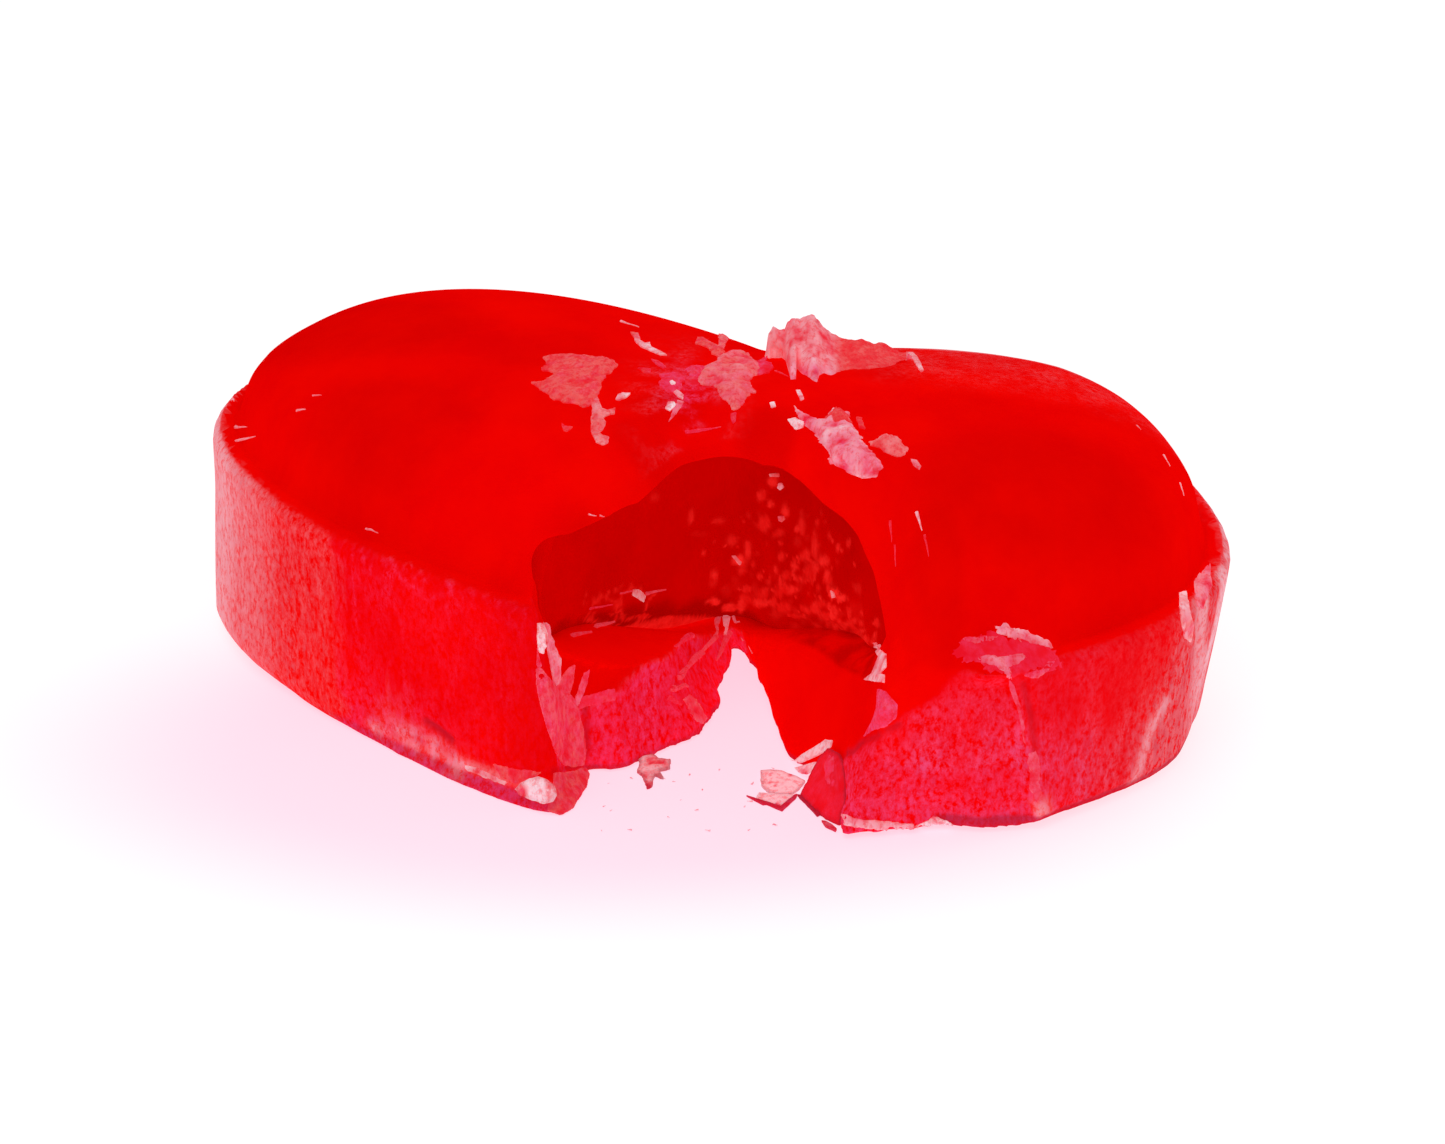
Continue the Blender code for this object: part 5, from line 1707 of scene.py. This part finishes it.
            (-3.64, 0.1, 4.03), (-3.45, 0.28, 3.95), (-3.25, 0.42, 3.66), (-3.32, 0.38, 3.44),
            (-3.5, 0.2, 3.66), (-3.66, 0.05, 3.85),
        ), rise=0.08, frost=1.0, pale=1.2, fleck=0.0, ragged=0.02),
        Flake((
            (1.02, 0.75, 7.52), (1.12, 0.72, 7.54), (1.18, 0.72, 7.38), (1.08, 0.74, 7.28),
            (0.98, 0.76, 7.36),
        ), rise=0.05, frost=1.0, pale=0.7, fleck=0.0, ragged=0.01),
        Flake((
            (0.72, 0.85, 7.8), (1.02, 0.76, 7.86), (1.05, 0.76, 7.74), (0.75, 0.85, 7.7),
        ), rise=0.04, frost=1.0, cut=0.0, pale=0.35, fleck=0.0, ragged=0.01),
        Flake((
            (1.02, 0.85, 6.3), (1.18, 0.8, 6.32), (1.24, 0.8, 6.2), (1.14, 0.82, 6.1),
            (1.04, 0.84, 6.15),
        ), rise=0.05, frost=1.0, pale=0.6, fleck=0.0, ragged=0.01),
        Flake((
            (-0.48, 2.6, 4.0), (-0.36, 2.55, 4.02), (-0.14, 2.45, 3.8), (-0.22, 2.48, 3.72),
        ), rise=0.04, frost=1.0, cut=0.0, pale=0.3, fleck=0.0, ragged=0.01),
        Flake((
            (2.68, -1.6, 4.88), (2.78, -1.7, 4.84), (2.82, -1.72, 4.7), (2.72, -1.65, 4.66),
        ), rise=0.04, frost=1.0, cut=0.0, pale=0.45, fleck=0.0, ragged=0.01),
    )

    def build(self) -> bpy.types.Object:
        """Make the strands and flakes as one piece."""
        pieces = SmallPieces("broken_edges")
        for index, (start, end, width, paleness) in enumerate(self.strands):
            first, normal = self.skin.seen(start)
            last, other = self.skin.seen(end)
            lean = (normal + other).normalized()
            made = pieces.add_sliver(first, last, lean, width, width, 3.1 * index, taper=0.4)
            pieces.tint(made, frost=0.45 + 0.5 * paleness, cut=0.8, pale=paleness)
        for index, flake in enumerate(self.flakes):
            pieces.add_flake(flake, self.skin, 4.1 * index)
        return pieces.finish()


@dataclass
class TableCrumbs:
    """Crumbs and thin shards on the table, and pale chips at the right lobe's foot."""

    skin: Skin
    flakes: tuple = (
        # the white shard that leans on the right side of the notch
        Flake((
            (1.4, -3.9, 0.02), (1.55, -4.15, 0.12), (1.8, -4.25, 0.4), (2.25, -4.8, 1.02),
            (2.53, -5.15, 1.42), (2.74, -5.66, 1.66), (2.7, -5.74, 1.48), (2.36, -5.25, 0.98),
            (2.02, -4.8, 0.55), (1.7, -4.4, 0.18),
        ), rise=0.05, frost=1.0, pale=1.6, fleck=0.1, rim=0.1, free=True, ragged=0.01),
        Flake((
            (1.55, -4.45, 0.02), (1.75, -4.5, 0.1), (2.15, -5.05, 0.55), (2.3, -5.4, 0.75),
            (2.2, -5.5, 0.55), (1.9, -5.05, 0.12), (1.7, -4.8, 0.02),
        ), rise=0.03, frost=1.0, cut=0.9, pale=1.3, rim=0.2, free=True, ragged=0.01),
        # thin glassy shards, seen by their edges
        Flake((
            (0.46, -4.67, 0.02), (0.75, -4.61, 0.02), (1.1, -4.67, 0.02), (1.56, -5.03, 0.02),
            (1.86, -5.35, 0.02), (1.67, -5.87, 0.02), (1.45, -6.2, 0.02), (1.0, -6.2, 0.02),
            (0.69, -6.11, 0.02), (0.46, -5.63, 0.02),
        ), rise=0.03, frost=1.0, cut=0.6, pale=3.0, fleck=0.1, rim=0.45, free=True, ragged=0.02),
        Flake((
            (0.0, -6.3, 0.02), (0.52, -6.88, 0.02), (0.63, -6.84, 0.02), (1.12, -7.28, 0.02),
            (1.55, -6.46, 0.02), (1.61, -6.2, 0.02), (1.5, -6.25, 0.02), (1.08, -7.0, 0.02),
            (0.63, -6.7, 0.02),
        ), rise=0.05, frost=0.7, cut=1.0, dusk=0.6, free=True, ragged=0.01),
        Flake((
            (0.4, -6.15, 0.03), (0.98, -6.23, 0.03), (1.5, -6.3, 0.03), (1.08, -6.95, 0.03),
            (0.63, -6.7, 0.03), (0.3, -6.5, 0.03),
        ), rise=0.03, frost=1.0, cut=0.6, pale=3.0, fleck=0.1, rim=0.15, free=True, ragged=0.02),
        Flake((
            (1.61, -6.3, 0.05), (1.75, -6.35, 0.05), (2.35, -7.5, 0.05), (2.22, -7.65, 0.05),
        ), rise=0.07, frost=0.5, cut=1.0, dusk=0.85, free=True, ragged=0.02),
        Flake((
            (2.35, -7.95, 0.04), (2.5, -8.0, 0.04), (2.82, -8.45, 0.04), (2.78, -8.62, 0.04),
            (2.46, -8.3, 0.04),
        ), rise=0.05, frost=0.7, cut=1.0, dusk=0.5, pale=0.3, free=True, ragged=0.02),
        # the pink crumb with three legs
        Flake((
            (-3.5, -3.75, 0.1), (-3.04, -3.65, 0.12), (-2.76, -4.1, 0.14), (-2.39, -4.08, 0.1),
            (-2.43, -4.6, 0.08), (-2.75, -4.8, 0.1), (-2.62, -5.24, 0.06), (-2.93, -5.05, 0.08),
            (-2.96, -5.75, 0.05), (-3.15, -5.85, 0.05), (-3.25, -5.2, 0.07), (-3.48, -4.8, 0.06),
            (-3.38, -4.28, 0.1),
        ), rise=0.09, frost=1.0, cut=0.4, pale=0.9, dusk=0.25, fleck=0.3, rim=0.45, free=True,
            ragged=0.04),
        # the chip in the right lobe's foot
        Flake((
            (5.2, -8.3, 0.05), (5.66, -8.22, 0.25), (5.83, -8.3, 0.45), (6.1, -8.25, 0.3),
            (6.45, -8.25, 0.1), (6.38, -8.35, 0.02), (5.74, -8.35, 0.02),
        ), rise=0.1, frost=1.0, pale=1.4, fleck=0.1, ragged=0.03),
        # the thin pale foot left of it
        Flake((
            (3.0, -8.2, 0.45), (3.6, -8.3, 0.3), (4.4, -8.4, 0.28), (5.2, -8.4, 0.22),
            (5.2, -8.4, 0.02), (4.4, -8.4, 0.02), (3.6, -8.3, 0.02), (3.1, -8.2, 0.02),
        ), rise=0.06, frost=0.9, cut=0.5, pale=0.5, fleck=0.2, ragged=0.05),
    )
    grains: int = 26
    seed: int = 11
    spread: tuple = ((-5.0, -8.6), (3.0, -4.2))

    def build(self) -> bpy.types.Object:
        """Make the crumbs as one piece."""
        pieces = SmallPieces("table_crumbs")
        up = Vector((0.0, 0.0, 1.0))
        for index, flake in enumerate(self.flakes):
            pieces.add_flake(flake, self.skin, 1.9 * index)
        draw = np.random.RandomState(self.seed)
        (low_x, low_y), (high_x, high_y) = self.spread
        for index in range(self.grains):
            place = Vector((draw.uniform(low_x, high_x), draw.uniform(low_y, high_y), 0.02))
            turn = draw.uniform(0.0, math.tau)
            size = draw.uniform(0.03, 0.09)
            tip = place + Vector((math.cos(turn), math.sin(turn), 0.1)) * (2.0 * size)
            made = pieces.add_sliver(place, tip, up, size, 0.7 * size, 0.7 * index)
            pieces.tint(made, frost=0.8, cut=0.7, pale=draw.uniform(0.3, 0.9))
        return pieces.finish()


# ------------------------------------------------------------------------------- stage


@dataclass(frozen=True)
class Stage:
    """Camera, floor and soft studio light."""

    aim: tuple[float, float, float] = (0.236, -0.207, 3.733)
    elevation: float = 26.904
    azimuth: float = -0.228
    distance: float = 220.0
    focal: float = 170.1
    sensor: float = 36.0
    clip: tuple[float, float] = (0.01, 10.0)
    floor_size: float = 2400.0
    floor_drop: float = 0.02
    world_strength: float = 0.5
    floor_colour: Colour = (1.0, 0.985, 0.995)
    # Colour of the painted pink glow on the floor near the candy; the glow_ values place and fade
    # it.
    floor_glow_colour: Colour = (1.0, 0.7, 0.84)
    floor_light: float = 0.83
    floor_grey: float = 0.3
    glow_middle: tuple[float, float, float] = (0.17, 0.46, 0.0)
    glow_scale: tuple[float, float, float] = (51.0, 84.0, 1.0)
    glow_fade: tuple[float, float] = (0.55, 1.15)
    floor_roughness: float = 0.6
    floor_gloss: float = 0.1
    # Name, place and size, mm, and power, W.
    lamps: tuple = (
        ("top_lamp", (-40.0, -90.0, 260.0), 180.0, 0.18),
        ("side_lamp", (240.0, 60.0, 160.0), 120.0, 0.08),
    )

    def add_camera(self) -> None:
        """Put the camera where the photograph was taken from."""
        data = bpy.data.cameras.new("camera")
        data.sensor_width = self.sensor
        data.lens = self.focal
        data.clip_start, data.clip_end = self.clip
        camera = add_object("camera", data)
        azimuth = math.radians(self.azimuth)
        elevation = math.radians(self.elevation)
        back = Vector((
            -math.sin(azimuth) * math.cos(elevation),
            -math.cos(azimuth) * math.cos(elevation),
            math.sin(elevation),
        ))
        camera.location = (Vector(self.aim) + back * self.distance) * MM
        look_along(camera, -back)
        bpy.context.scene.camera = camera

    def add_floor(self) -> None:
        """Lay a plain pale floor with a painted pink glow near the candy, where its red light would
        fall.
        """
        bm = bmesh.new()
        bmesh.ops.create_grid(bm, x_segments=1, y_segments=1, size=0.5 * self.floor_size * MM)
        bmesh.ops.translate(bm, verts=bm.verts, vec=(0.0, 0.0, -self.floor_drop * MM))
        mesh = bpy.data.meshes.new("floor")
        bm.to_mesh(mesh)
        bm.free()
        floor = add_object("floor", mesh)
        material = bpy.data.materials.new("floor")
        material.use_nodes = True
        nodes = material.node_tree.nodes
        links = material.node_tree.links
        shader = nodes["Principled BSDF"]
        shader.inputs["Roughness"].default_value = self.floor_roughness
        shader.inputs["Specular IOR Level"].default_value = self.floor_gloss
        place = nodes.new("ShaderNodeTexCoord")
        scaled = nodes.new("ShaderNodeMapping")
        scaled.inputs["Location"].default_value = self.glow_middle
        scaled.inputs["Scale"].default_value = self.glow_scale
        links.new(place.outputs["Object"], scaled.inputs["Vector"])
        away = nodes.new("ShaderNodeVectorMath")
        away.operation = "LENGTH"
        links.new(scaled.outputs["Vector"], away.inputs[0])
        fade = nodes.new("ShaderNodeMapRange")
        fade.interpolation_type = "SMOOTHSTEP"
        fade.inputs["From Min"].default_value = self.glow_fade[0]
        fade.inputs["From Max"].default_value = self.glow_fade[1]
        links.new(away.outputs["Value"], fade.inputs["Value"])
        # Painted light: the floor's glow turns pink near the candy and fades to its plain colour.
        tint = add_mix(
            material.node_tree, fade.outputs["Result"], self.floor_glow_colour, self.floor_colour)
        links.new(tint, shader.inputs["Emission Color"])
        shader.inputs["Base Color"].default_value = (*(self.floor_grey,) * 3, 1.0)
        shader.inputs["Emission Strength"].default_value = self.floor_light
        mesh.materials.append(material)

    def add_light(self) -> None:
        """Light the stage from a bright room, with large soft lamps over the candy."""
        world = bpy.data.worlds.new("room")
        world.use_nodes = True
        background = world.node_tree.nodes["Background"]
        background.inputs["Color"].default_value = (1.0, 1.0, 1.0, 1.0)
        background.inputs["Strength"].default_value = self.world_strength
        bpy.context.scene.world = world
        for name, place, size, power in self.lamps:
            data = bpy.data.lights.new(name, "AREA")
            data.shape = "DISK"
            data.size = size * MM
            data.energy = power
            lamp = add_object(name, data)
            lamp.location = Vector(place) * MM
            look_along(lamp, -lamp.location)

    def set_colours(self) -> None:
        """Keep the reds as saturated as the photograph's."""
        view = bpy.context.scene.view_settings
        view.view_transform = "Standard"


def dress(piece: bpy.types.Object, material: bpy.types.Material) -> None:
    """Give a piece its material and slot, and let it ride on the candy.

    Args:
        piece: The finished piece.
        material: Its finish.
    """
    piece.data.materials.clear()
    piece.data.materials.append(material)
    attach(piece, "root")
    LOG.info("%s: %d faces", piece.name, len(piece.data.polygons))


def main() -> None:
    """Build the stage and the candy, and report each piece."""
    logging.basicConfig(level=logging.INFO, format="%(name)s: %(message)s")
    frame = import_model()
    stage = Stage()
    stage.add_camera()
    stage.add_floor()
    stage.add_light()
    stage.set_colours()
    form = Form()
    speckle = Speckle()
    shell = CandyShell(form).build(frame["nodes"]["shell"])
    dress(shell, SHELL_FINISH.make(speckle))
    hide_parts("shell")
    filling = Filling(form).build(frame["nodes"]["filling"])
    dress(filling, FILLING_FINISH.make(speckle))
    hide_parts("filling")
    skin = Skin(shell, filling)
    splinter = SPLINTER_FINISH.make(speckle)
    for piece in DomeSplinters(form, skin).build():
        dress(piece, splinter)
    dress(Crest(form).build(), splinter)
    dress(BrokenEdges(skin).build(), splinter)
    dress(TableCrumbs(skin).build(), splinter)


if __name__ == "__main__":
    main()
